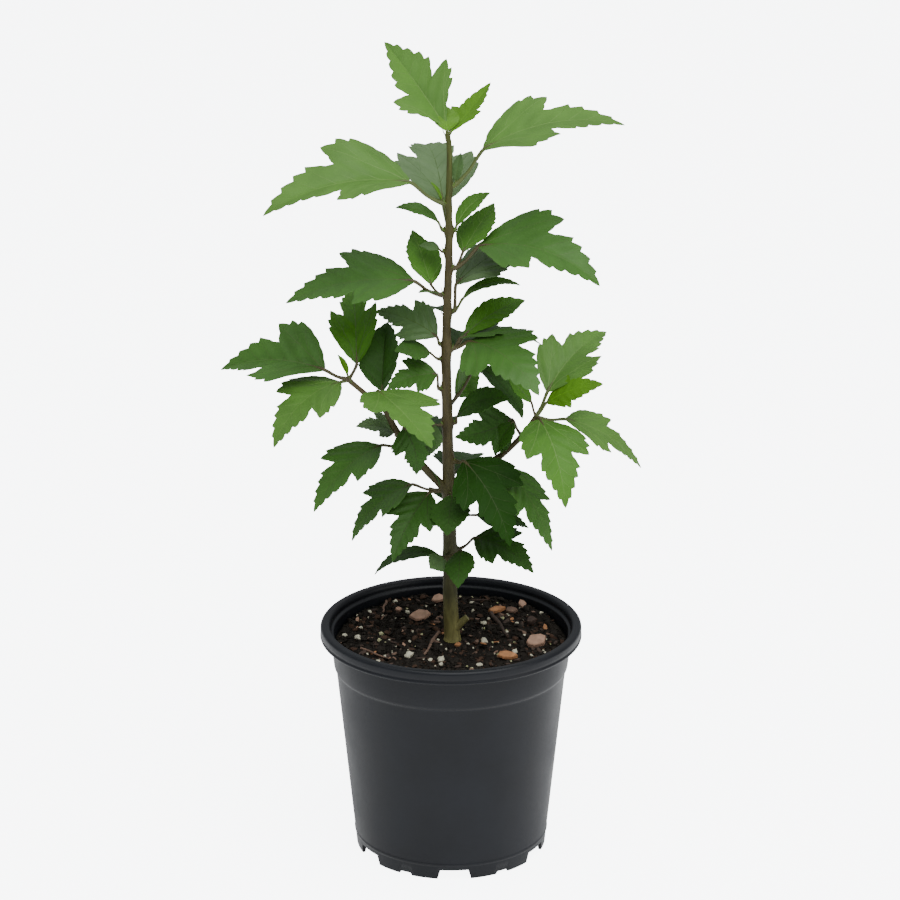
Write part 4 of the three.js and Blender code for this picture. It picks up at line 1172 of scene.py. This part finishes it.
def smooth_path(points, spacing):
    """Points and radii at an even spacing on a smooth curve through (place, radius) stations."""
    places = [Vector((*at, radius)) for at, radius in points]
    ends = [places[0] * 2 - places[1], *places, places[-1] * 2 - places[-2]]
    out = []
    for i in range(1, len(ends) - 2):
        a, b, c, d = ends[i - 1:i + 3]
        steps = max(2, round((c - b).length / spacing))
        for k in range(steps):
            t = k / steps
            out.append(0.5 * (2 * b + (c - a) * t + (2 * a - 5 * b + 4 * c - d) * t * t
                              + (3 * b - a - 3 * c + d) * t ** 3))
    out.append(places[-1])
    return [(Vector(p[:3]), p[3]) for p in out]


SHORT_AXIS = 60  # a limb with fewer stations than this has its nearest one searched for
RIDGE_WAVES = (1.6, 1.6, 0.16)  # waves of the bark's ridges for a millimetre, in X, Y and height
PORE_WAVES = 0.75
PORE_SHIFT = Vector((31, 7, 0))
PORE_FROM = 0.35  # the noise rises to a pore above this
PORE_HEIGHT = 2.6
THIN_LIMB = 2  # below this radius the relief gets finer
KNOT_REACH = 9
KNOT_SPREAD = 3.4
KNOT_ROUND, KNOT_OUTWARD = 0.5, 1.4  # swelling all round, and what is added on the shoot's side


def station_beside(heights, z):
    """The number of the limb's station that lies beside a height."""
    last = len(heights) - 1
    if last + 1 < SHORT_AXIS:
        return min(range(last + 1), key=lambda k: abs(heights[k] - z))
    return min(last, max(0, round((z - heights[0]) / (heights[-1] - heights[0]) * last)))


def roughen_bark(verts, axis, knots, relief, swell):
    """Pushes a limb's points in or out for ridges, breathing pores and the swelling under each shoot."""
    heights = [at.z for at, _ in axis]
    for v in verts:
        out = v.co - axis[station_beside(heights, v.co.z)][0]
        radius = max(out.length, 0.2)
        out = out.normalized()
        ridge = noise.noise(Vector([c * often for c, often in zip(v.co, RIDGE_WAVES)]))
        pore = max(0, noise.noise(v.co * PORE_WAVES + PORE_SHIFT) - PORE_FROM)
        push = relief * (ridge + PORE_HEIGHT * pore) * min(1, radius / THIN_LIMB)
        for spot, away in knots:
            gap = (v.co - spot).length
            if gap < KNOT_REACH:
                facing = max(0, out.dot(away))
                push += swell * math.exp(-(gap / KNOT_SPREAD) ** 2) * (KNOT_ROUND + KNOT_OUTWARD * facing)
        v.co += out * push


STUB = [  # place, radius: the stub of a side shoot cut off low on the right of the stem
    ((3.2, -1.6, 146.5), 2.9), ((5.6, -2.0, 149.0), 2.5), ((8.2, -2.2, 151.6), 2.2),
    ((10.2, -2.3, 153.4), 2.1),
]
STEM_END = ((-2.0, 0, 463.2), 1.1)
BOUGH_END = 0.8  # radius of a bough's end, as a share of the radius at its last station
STEM_SIDES, BOUGH_SIDES, STUB_SIDES = 36, 22, 18
CUT_DEPTH = 0.6  # the relief lowers no point of the stem's flat cut by more than this


class HIBISCUS_OT_limbs(Operator):
    """Builds the stem and the two boughs with the bark's relief"""

    bl_idname = "hibiscus.limbs"
    bl_label = "Stem and boughs"

    def execute(self, context):
        sizes, colours = context.scene.hibiscus_limbs, context.scene.hibiscus_colours
        knots = [(wood.lerp(bud, 0.4), (bud - wood).normalized()) for _, (wood, bud), _ in SHOOTS]
        limbs = [([*STEM_STATIONS, STEM_END], STEM_SIDES)]
        for bough in (LEFT_BOUGH, RIGHT_BOUGH):
            limbs.append(([*bough, (past_tip(bough)[1], bough[-1][1] * BOUGH_END)], BOUGH_SIDES))
        bm = bmesh.new()
        spacing = sizes.spacing / MM
        for stations, sides in limbs:
            axis = smooth_path(stations, spacing)
            verts = sweep(bm, axis, sides)
            roughen_bark(verts, axis, knots, sizes.relief / MM, sizes.joint_swell / MM)
        sweep(bm, smooth_path(STUB, spacing), STUB_SIDES)
        foot = STEM[0][0]
        low = min(v.co.z for v in bm.verts)
        for v in bm.verts:
            if v.co.z < foot:
                v.co.z = foot - CUT_DEPTH * (foot - v.co.z) / (foot - low)
        finish_piece("stem_and_boughs", bm, [bark_look(colours)],
                     ["stem", "left_bough", "right_bough"], crease=55)
        return {"FINISHED"}


# Leaves

LONG_STRETCH = 0.06  # a stretch of the outline that is longer than this bulges
BULGE = 0.28
BULGE_STEPS = 3
SHEET = 0.001  # thickness of a flat blade of unit length, before its true one
LOOKS_DOWN = -0.5  # faces whose normal points down more than this belong to the underside
FULL_WIDTH = 0.37  # half width of the widest outline, as a share of its length
WAVES = 2.3  # from base to tip
WAVE_SHIFT = 0.3  # how far the waves of one half are ahead of the other's
WAVE_GROWTH = 1.4
QUILTS = 7.5  # from base to tip
QUILT_SLANT = 0.9
QUILT_FLAT = 0.06  # beside the midrib the quilting grows in over this width
FULL_QUILT = 60  # length of the shortest blade that has the whole quilting


def toothed(knots):
    """Fills an outline out: each longer stretch between two knots bulges a little outwards."""
    out = []
    for (x0, y0, s0), (x1, y1, s1) in zip(knots, knots[1:]):
        out.append((x0, y0, s0))
        long = math.hypot(x1 - x0, y1 - y0)
        steps = BULGE_STEPS if long > LONG_STRETCH else 1
        for k in range(1, steps):
            t = k / steps
            bulge = BULGE * long * t * (1 - t)
            out.append((x0 + (x1 - x0) * t - (y1 - y0) / long * bulge,
                        y0 + (y1 - y0) * t + (x1 - x0) / long * bulge, s0 + (s1 - s0) * t))
    out.append(knots[-1])
    return out


def flat_blade(kind, rows):
    """A flat blade of unit length: rows grown from the midrib out to the toothed edge on both sides.

    Returns its points (x, y, side of the sheet), its faces and for each face whether it looks up.
    """
    outline = toothed(OUTLINES[kind])
    bm = bmesh.new()
    station = bm.verts.layers.int.new("station")
    spine = [bm.verts.new((s, 0, 0)) for _, _, s in outline]
    for i, v in enumerate(spine):
        v[station] = i
    spine_edges = [bm.edges.new(pair) for pair in zip(spine, spine[1:])]
    for sign in (1, -1):
        edges = spine_edges
        for row in range(1, rows + 1):
            grown = bmesh.ops.extrude_edge_only(bm, edges=edges)["geom"]
            fresh = {g for g in grown if isinstance(g, bmesh.types.BMVert)}
            edges = [g for g in grown if isinstance(g, bmesh.types.BMEdge) and set(g.verts) <= fresh]
            for v in fresh:
                x, y, s = outline[v[station]]
                t = row / rows
                v.co = (s + (x - s) * t, sign * y * t, 0)
    bmesh.ops.remove_doubles(bm, verts=bm.verts, dist=1e-6)
    bmesh.ops.dissolve_degenerate(bm, edges=bm.edges, dist=1e-6)
    bmesh.ops.recalc_face_normals(bm, faces=bm.faces)
    if sum(f.normal.z * f.calc_area() for f in bm.faces) < 0:
        bmesh.ops.reverse_faces(bm, faces=bm.faces)
    bmesh.ops.solidify(bm, geom=bm.faces[:], thickness=SHEET)
    bm.normal_update()
    middle = sum(v.co.z for v in bm.verts) / len(bm.verts)
    up = [f.normal.z > LOOKS_DOWN for f in bm.faces]
    points, faces = arrays_of(bm)
    points = np.array([(x, y, 1.0 if z > middle else -1.0) for x, y, z in points])
    return points, faces, up


def surface_height(flat, spec, sizes, phase):
    """Waves at the edge and quilting between the side veins, in millimetres, over a flat blade."""
    x, y = flat[:, 0], flat[:, 1]
    width = np.abs(y) / FULL_WIDTH
    side = np.where(y > 0, WAVE_SHIFT, 0.0)
    wave = sizes.wave * spec["long"] * width ** WAVE_GROWTH * np.sin(TURN * (WAVES * x + side + phase))
    grown = np.clip(np.abs(y) / QUILT_FLAT, 0, 1)
    quilt = -sizes.quilt / MM * np.cos(TURN * QUILTS * (x - QUILT_SLANT * np.abs(y))) * grown
    return wave + quilt * min(1.0, spec["long"] / FULL_QUILT)


def bent(flat, lift, spec, base, sizes):
    """Carries flat blade points into place; lift is each point's height over the sheet in millimetres."""
    x, y = flat[:, 0], flat[:, 1]
    start = math.radians(spec["rise"] + spec["arch"] / 2)
    arch = math.radians(spec["arch"])
    climb = start - arch * x
    turn = math.radians(spec["toward"])
    ahead = np.array([math.cos(turn), math.sin(turn), 0.0])
    level = np.array([-math.sin(turn), math.cos(turn), 0.0])
    sky = np.array([0.0, 0.0, 1.0])
    if abs(arch) < 1e-3:
        far, high = math.cos(start) * x, math.sin(start) * x
    else:
        far, high = (math.sin(start) - np.sin(climb)) / arch, (np.cos(climb) - math.cos(start)) / arch
    middle = np.array(base) + spec["long"] * (far[:, None] * ahead + high[:, None] * sky)
    up = -np.sin(climb)[:, None] * ahead + np.cos(climb)[:, None] * sky
    roll = math.radians(spec["roll"])
    side = math.cos(roll) * level + math.sin(roll) * up
    normal = -math.sin(roll) * level + math.cos(roll) * up
    fold = math.radians(spec["fold"]) - sizes.curl * np.abs(y) / FULL_WIDTH
    sign = np.where(y < 0, -1.0, 1.0)
    out = (sign * np.cos(fold))[:, None] * side + np.sin(fold)[:, None] * normal
    over = (-sign * np.sin(fold))[:, None] * side + np.cos(fold)[:, None] * normal
    half = (spec["long"] * spec["wide"] * np.abs(y))[:, None]
    return middle + half * out + lift[:, None] * over


def leaf_base(spec, bud):
    """Where the blade starts: the end of the leaf's stalk."""
    return bud + direction(spec["aim"], spec["lift"]) * spec["stalk"]


SMALL_SHARE = 0.55  # share of a large leaf's stalk and vein sizes that the smallest leaves have
VEIN_LEAF = 80  # length of the leaf that has the whole vein width
STALK_LEAF = 75  # length of the leaf that has the whole stalk radius
STRONG_VEIN = 0.7
STRONG_STEPS, USUAL_STEPS = 16, 8
UNDER_VEIN = 0.5  # weaker veins than this don't show on the underside
RIDGE_ABOVE, RIDGE_BELOW = 0.2, 0.5  # how far the midrib stands out on the two sides
VEIN_SUNK = 0.03
VEIN_BOW = 0.036
VEIN_TAPER, RIDGE_TAPER = 0.75, 0.7


def vein_ribbons(spec, sizes):
    """The veins as narrow ridged ribbons on the flat blade: points, faces and a height for each point.

    Heights are over the sheet's middle: an edge of the ribbon is sunk in the blade, its middle stands up.
    """
    thick = sizes.thickness / MM / 2
    base_width = sizes.vein / MM * (SMALL_SHARE + (1 - SMALL_SHARE) * spec["long"] / VEIN_LEAF)
    points, heights, faces = [], [], []
    lines = [(MIDRIB, 1)] + [(v, s) for v in VEINS[spec["kind"]] for s in (1, -1)]
    for face_side in (1, -1):
        for (x0, y0, x1, y1, strength), sign in lines:
            if face_side < 0 and strength < UNDER_VEIN:
                continue
            ridge = (RIDGE_ABOVE if face_side > 0 else RIDGE_BELOW) * strength
            run = Vector((x1 - x0, (y1 - y0) * sign))
            across = Vector((-run.y, run.x)).normalized()
            steps = STRONG_STEPS if strength > STRONG_VEIN else USUAL_STEPS
            start = len(points)
            for k in range(steps + 1):
                t = k / steps
                bow = VEIN_BOW * run.length * math.sin(math.pi * t) * (sign if y1 else 0)
                spot = Vector((x0, y0 * sign)) + run * t - across * bow
                half = base_width * strength * (1 - VEIN_TAPER * t) / spec["long"]
                edge, crest = thick - VEIN_SUNK, thick + ridge * (1 - RIDGE_TAPER * t)
                for shift, height in ((-half, edge), (0, crest), (half, edge)):
                    points.append((spot.x + across.x * shift, spot.y + across.y * shift / spec["wide"]))
                    heights.append(face_side * height)
                if k:
                    a = start + 3 * (k - 1)
                    for j in (0, 1):
                        quad = (a + j, a + j + 3, a + j + 4, a + j + 1)
                        faces.append(quad if face_side < 0 else quad[::-1])
    return np.array(points), np.array(heights), faces


WAVE_SEED = 7


class HIBISCUS_OT_leaves(Operator):
    """Builds every leaf blade with its veins"""

    bl_idname = "hibiscus.leaves"
    bl_label = "Leaves"

    def execute(self, context):
        sizes, colours = context.scene.hibiscus_leaves, context.scene.hibiscus_colours
        blanks = {kind: flat_blade(kind, sizes.rows) for kind in OUTLINES}
        draw = random.Random(WAVE_SEED)
        blades, veins = Heap(), Heap()
        under = len(TONES)
        vein_names = list(VEIN_LOOKS)
        thick = sizes.thickness / MM / 2
        for _, (_, bud), leaves in SHOOTS:
            for spec in leaves:
                points, faces, up = blanks[spec["kind"]]
                phase = draw.random()
                base = leaf_base(spec, bud)
                lift = surface_height(points, spec, sizes, phase) + points[:, 2] * thick
                tone = TONES.index(spec["tone"])
                blades.add(bent(points, lift, spec, base, sizes), faces, [tone if u else under for u in up])
                flat, heights, quads = vein_ribbons(spec, sizes)
                heights = heights + surface_height(flat, spec, sizes, phase)
                look = vein_names.index(TONE_VEINS.get(spec["tone"], USUAL_VEINS))
                veins.add(bent(flat, heights, spec, base, sizes), quads, [look] * len(quads))
        # The looks of the tones from lit to dark are painted light and shade: the leaf green lightened or
        # darkened for its leaves, with a random mottle.
        looks = []
        for tone in TONES:
            colour = getattr(colours, tone)
            looks.append(mixed_look("leaf_" + tone, colour, shaded(colour, 0.82), roughness=0.5, scale=55,
                                    grain=700, bump=0.12, bump_distance=0.0004,
                                    specular=SHEEN.get(tone, USUAL_SHEEN)))
        looks.append(mixed_look("leaf_under", colours.under, shaded(colours.under, 0.85), roughness=0.75,
                                scale=55, grain=700, bump=0.12, specular=0.12))
        # The vein looks are lit and shaded copies of the vein green: painted light and shade.
        vein_looks = []
        for name, (colour, share, specular) in VEIN_LOOKS.items():
            vein_looks.append(plain_look(name, shaded(getattr(colours, colour), share), 0.5, specular))
        nodes = [name for name, _, _ in SHOOTS]
        place_mesh("leaf_blades", blades.to_mesh("leaf_blades"), looks, nodes, crease=45)
        place_mesh("leaf_veins", veins.to_mesh("leaf_veins"), vein_looks, crease=80)
        return {"FINISHED"}


STALK_SPACING = 1.6
STALK_SIDES = 9
STALK_SAG = 0.06
GREEN_FROM = 395  # the stalks of shoots above this height are green
BRACTS_FROM = 300.0  # shoots above this height keep their thin bracts
UNDER_BLADE = [  # share of the blade's length, height over its sheet, share of the stalk's radius
    (0.1, -0.35, 0.72), (0.24, -0.3, 0.5), (0.4, -0.2, 0.25),
]
BUD_POINT = 1.6  # the upper half is this much longer than the lower one
BUD_WIDTH = 1.15
BUD_NARROWING = 0.35
BUD_UPRIGHT = 1.2  # how much a bud points up, against outwards
BUD_RAISED = 0.9
BRACT = [(0, 0.8, 0, 0.42), (1.6, 2.6, 1.6, 0.32), (2.2, 3.2, 4.2, 0.08)]  # out, aside, up, radius
BRACT_SPACING = 1.0
BRACT_SIDES = 6


class HIBISCUS_OT_stalks(Operator):
    """Builds the leaf stalks, buds and bracts"""

    bl_idname = "hibiscus.stalks"
    bl_label = "Stalks and buds"

    def execute(self, context):
        sizes, colours = context.scene.hibiscus_leaves, context.scene.hibiscus_colours
        looks = [
            mixed_look("stalk_green", colours.stalk, shaded(colours.stalk, 0.8), roughness=0.5, scale=200),
            mixed_look("stalk_brown", colours.stalk_brown, shaded(colours.stalk_brown, 0.75),
                       roughness=0.55, scale=200),
            mixed_look("bud_green", shaded(colours.stalk, 1.15), shaded(colours.young, 0.7),
                       roughness=0.55, scale=300),
        ]
        stalks, buds = bmesh.new(), bmesh.new()
        for _, (wood, bud), leaves in SHOOTS:
            for spec in leaves:
                look = 0 if bud.z > GREEN_FROM or spec["tone"] in ("lit", "young") else 1
                self.stalk(stalks, spec, wood, bud, sizes, look)
            self.bud(buds, wood, bud)
            if bud.z > BRACTS_FROM:
                self.bracts(buds, wood, bud)
        finish_piece("leaf_stalks", stalks, looks[:2], crease=60)
        finish_piece("buds_and_bracts", buds, [looks[2]], crease=60)
        return {"FINISHED"}

    def stalk(self, bm, spec, wood, bud, sizes, look):
        """One stalk: from inside the wood, past the bud, to the blade and on under its midrib."""
        base = leaf_base(spec, bud)
        along = np.array([[share, 0.0, 0.0] for share, _, _ in UNDER_BLADE])
        sunk = np.array([height for _, height, _ in UNDER_BLADE])
        size = sizes.stalk / MM * (SMALL_SHARE + (1 - SMALL_SHARE) * min(1, spec["long"] / STALK_LEAF))
        middle = bud.lerp(base, 0.5) + Vector((0, 0, -STALK_SAG * spec["stalk"]))
        stations = [(wood.lerp(bud, 0.25), size * 1.5), (bud.lerp(base, 0.06), size * 1.35),
                    (middle, size * 0.9), (base, size)]
        for place, (_, _, share) in zip(bent(along, sunk, spec, base, sizes), UNDER_BLADE):
            stations.append((place, size * share))
        sweep(bm, smooth_path(stations, STALK_SPACING), STALK_SIDES, look)

    def bud(self, bm, wood, bud):
        """A small pointed bud in the angle over the stalk."""
        made = bmesh.ops.create_icosphere(bm, subdivisions=2, radius=1)["verts"]
        for v in made:
            v.co.z *= BUD_POINT if v.co.z > 0 else 1
            narrow = 1 - BUD_NARROWING * max(0, v.co.z)
            v.co.x *= BUD_WIDTH * narrow
            v.co.y *= BUD_WIDTH * narrow
        lean = (bud - wood).normalized() + Vector((0, 0, BUD_UPRIGHT))
        turn = lean.to_track_quat("Z", "Y").to_matrix().to_4x4()
        place = Matrix.Translation(wood.lerp(bud, 0.55) + Vector((0, 0, BUD_RAISED)))
        bmesh.ops.transform(bm, matrix=place @ turn, verts=made)

    def bracts(self, bm, wood, bud):
        """Two thin bracts that stand beside the stalk."""
        out = (bud - wood).normalized()
        side = Vector((0, 0, 1)).cross(out)
        if side.length < 0.1:
            side = Vector((1, 0, 0))
        side.normalize()
        for sign in (1, -1):
            stations = [(wood + out * ahead + side * (sign * aside) + Vector((0, 0, raised)), radius)
                        for ahead, aside, raised, radius in BRACT]
            sweep(bm, smooth_path(stations, BRACT_SPACING), BRACT_SIDES)


# The stage

LIGHTS = [  # name, place, what it looks at, width, the setting with its power
    ("key_light", (0.3, -0.7, 2.0), (0, 0, 0.3), 2.0, "key_power"),
    ("fill_light", (1.6, -0.9, 0.8), (0, 0, 0.25), 1.2, "fill_power"),
]
SENSOR_WIDTH = 36


class HIBISCUS_OT_stage(Operator):
    """Sets the pale floor, the soft lights and the camera"""

    bl_idname = "hibiscus.stage"
    bl_label = "Stage"

    def execute(self, context):
        sizes, colours = context.scene.hibiscus_stage, context.scene.hibiscus_colours
        bm = bmesh.new()
        bmesh.ops.create_grid(bm, x_segments=1, y_segments=1, size=sizes.floor)
        mesh = bpy.data.meshes.new("studio_floor")
        bm.to_mesh(mesh)
        bm.free()
        mesh.materials.append(self.floor_look(sizes, colours))
        floor = bpy.data.objects.new("studio_floor", mesh)
        context.scene.collection.objects.link(floor)
        context.scene.world = self.room(sizes, colours)
        for name, place, target, width, power in LIGHTS:
            self.light(context, name, place, target, width, getattr(sizes, power))
        self.camera(context, sizes)
        return {"FINISHED"}

    def room(self, sizes, colours):
        """A world with even light from all round that grows towards the ceiling."""
        world = bpy.data.worlds.new("even_room")
        world.use_nodes = True
        nodes, links = world.node_tree.nodes, world.node_tree.links
        light = nodes["Background"]
        light.inputs["Color"].default_value = (*colours.room, 1)
        where = add_node(nodes, "ShaderNodeTexCoord")
        split = add_node(nodes, "ShaderNodeSeparateXYZ")
        links.new(where.outputs["Generated"], split.inputs["Vector"])
        height = add_node(nodes, "ShaderNodeMapRange", {"To Min": sizes.sky_low, "To Max": sizes.sky})
        links.new(split.outputs["Z"], height.inputs["Value"])
        links.new(height.outputs["Result"], light.inputs["Strength"])
        return world

    def floor_look(self, sizes, colours):
        """A pale floor that glows a little, and more where it is looked at than where it lights the plant."""
        look = plain_look("floor_pale", colours.floor, roughness=0.9, specular=0.1)
        nodes, links = look.node_tree.nodes, look.node_tree.links
        shader = nodes["Principled BSDF"]
        shader.inputs["Emission Color"].default_value = (*colours.floor_light, 1)
        path = add_node(nodes, "ShaderNodeLightPath")
        glow = add_node(nodes, "ShaderNodeMapRange",
                        {"To Min": sizes.floor_glow, "To Max": sizes.floor_white})
        links.new(path.outputs["Is Camera Ray"], glow.inputs["Value"])
        links.new(glow.outputs["Result"], shader.inputs["Emission Strength"])
        return look

    def light(self, context, name, place, target, width, power):
        """A square soft light that looks at a target."""
        data = bpy.data.lights.new(name, "AREA")
        data.size = width
        data.energy = power
        lamp = bpy.data.objects.new(name, data)
        lamp.location = place
        lamp.rotation_euler = (Vector(target) - Vector(place)).to_track_quat("-Z", "Y").to_euler()
        context.scene.collection.objects.link(lamp)

    def camera(self, context, sizes):
        """The photograph's viewing angle."""
        data = bpy.data.cameras.new("viewpoint")
        data.sensor_width = SENSOR_WIDTH
        data.lens = sizes.focal
        camera = bpy.data.objects.new("viewpoint", data)
        ahead = Vector((0, math.cos(sizes.pitch), -math.sin(sizes.pitch)))
        aim = Vector((sizes.aim_side, 0, sizes.aim_height))
        camera.location = aim - ahead * sizes.distance
        camera.rotation_euler = ahead.to_track_quat("-Z", "Y").to_euler()
        context.scene.collection.objects.link(camera)
        context.scene.camera = camera


OPERATORS = (HIBISCUS_OT_pot, HIBISCUS_OT_mix, HIBISCUS_OT_limbs, HIBISCUS_OT_leaves, HIBISCUS_OT_stalks,
             HIBISCUS_OT_stage)
SETTINGS = {
    "hibiscus_pot": HibiscusPotSizes,
    "hibiscus_mix": HibiscusMixSizes,
    "hibiscus_limbs": HibiscusLimbSizes,
    "hibiscus_leaves": HibiscusLeafSizes,
    "hibiscus_colours": HibiscusColours,
    "hibiscus_stage": HibiscusStageSizes,
}


class HIBISCUS_PT_panel(Panel):
    """Lists the pieces and their sizes"""

    bl_idname = "HIBISCUS_PT_panel"
    bl_label = "Potted hibiscus"
    bl_space_type = "VIEW_3D"
    bl_region_type = "UI"
    bl_category = "Hibiscus"

    def draw(self, context):
        for operator in OPERATORS:
            self.layout.operator(operator.bl_idname)
        for name, group in SETTINGS.items():
            box = self.layout.box()
            for prop in group.__annotations__:
                box.prop(getattr(context.scene, name), prop)


def register():
    """Makes the settings, the operators and the panel known."""
    for group in SETTINGS.values():
        bpy.utils.register_class(group)
    for name, group in SETTINGS.items():
        setattr(bpy.types.Scene, name, PointerProperty(type=group))
    for operator in OPERATORS:
        bpy.utils.register_class(operator)
    bpy.utils.register_class(HIBISCUS_PT_panel)


def unregister():
    """Takes them back in the opposite order."""
    bpy.utils.unregister_class(HIBISCUS_PT_panel)
    for operator in reversed(OPERATORS):
        bpy.utils.unregister_class(operator)
    for name, group in SETTINGS.items():
        delattr(bpy.types.Scene, name)
        bpy.utils.unregister_class(group)


def main():
    """Builds every piece and the stage."""
    register()
    bpy.ops.hibiscus.pot()
    bpy.ops.hibiscus.mix()
    bpy.ops.hibiscus.limbs()
    bpy.ops.hibiscus.leaves()
    bpy.ops.hibiscus.stalks()
    bpy.ops.hibiscus.stage()
    bpy.context.view_layer.update()


if __name__ == "__main__":
    main()
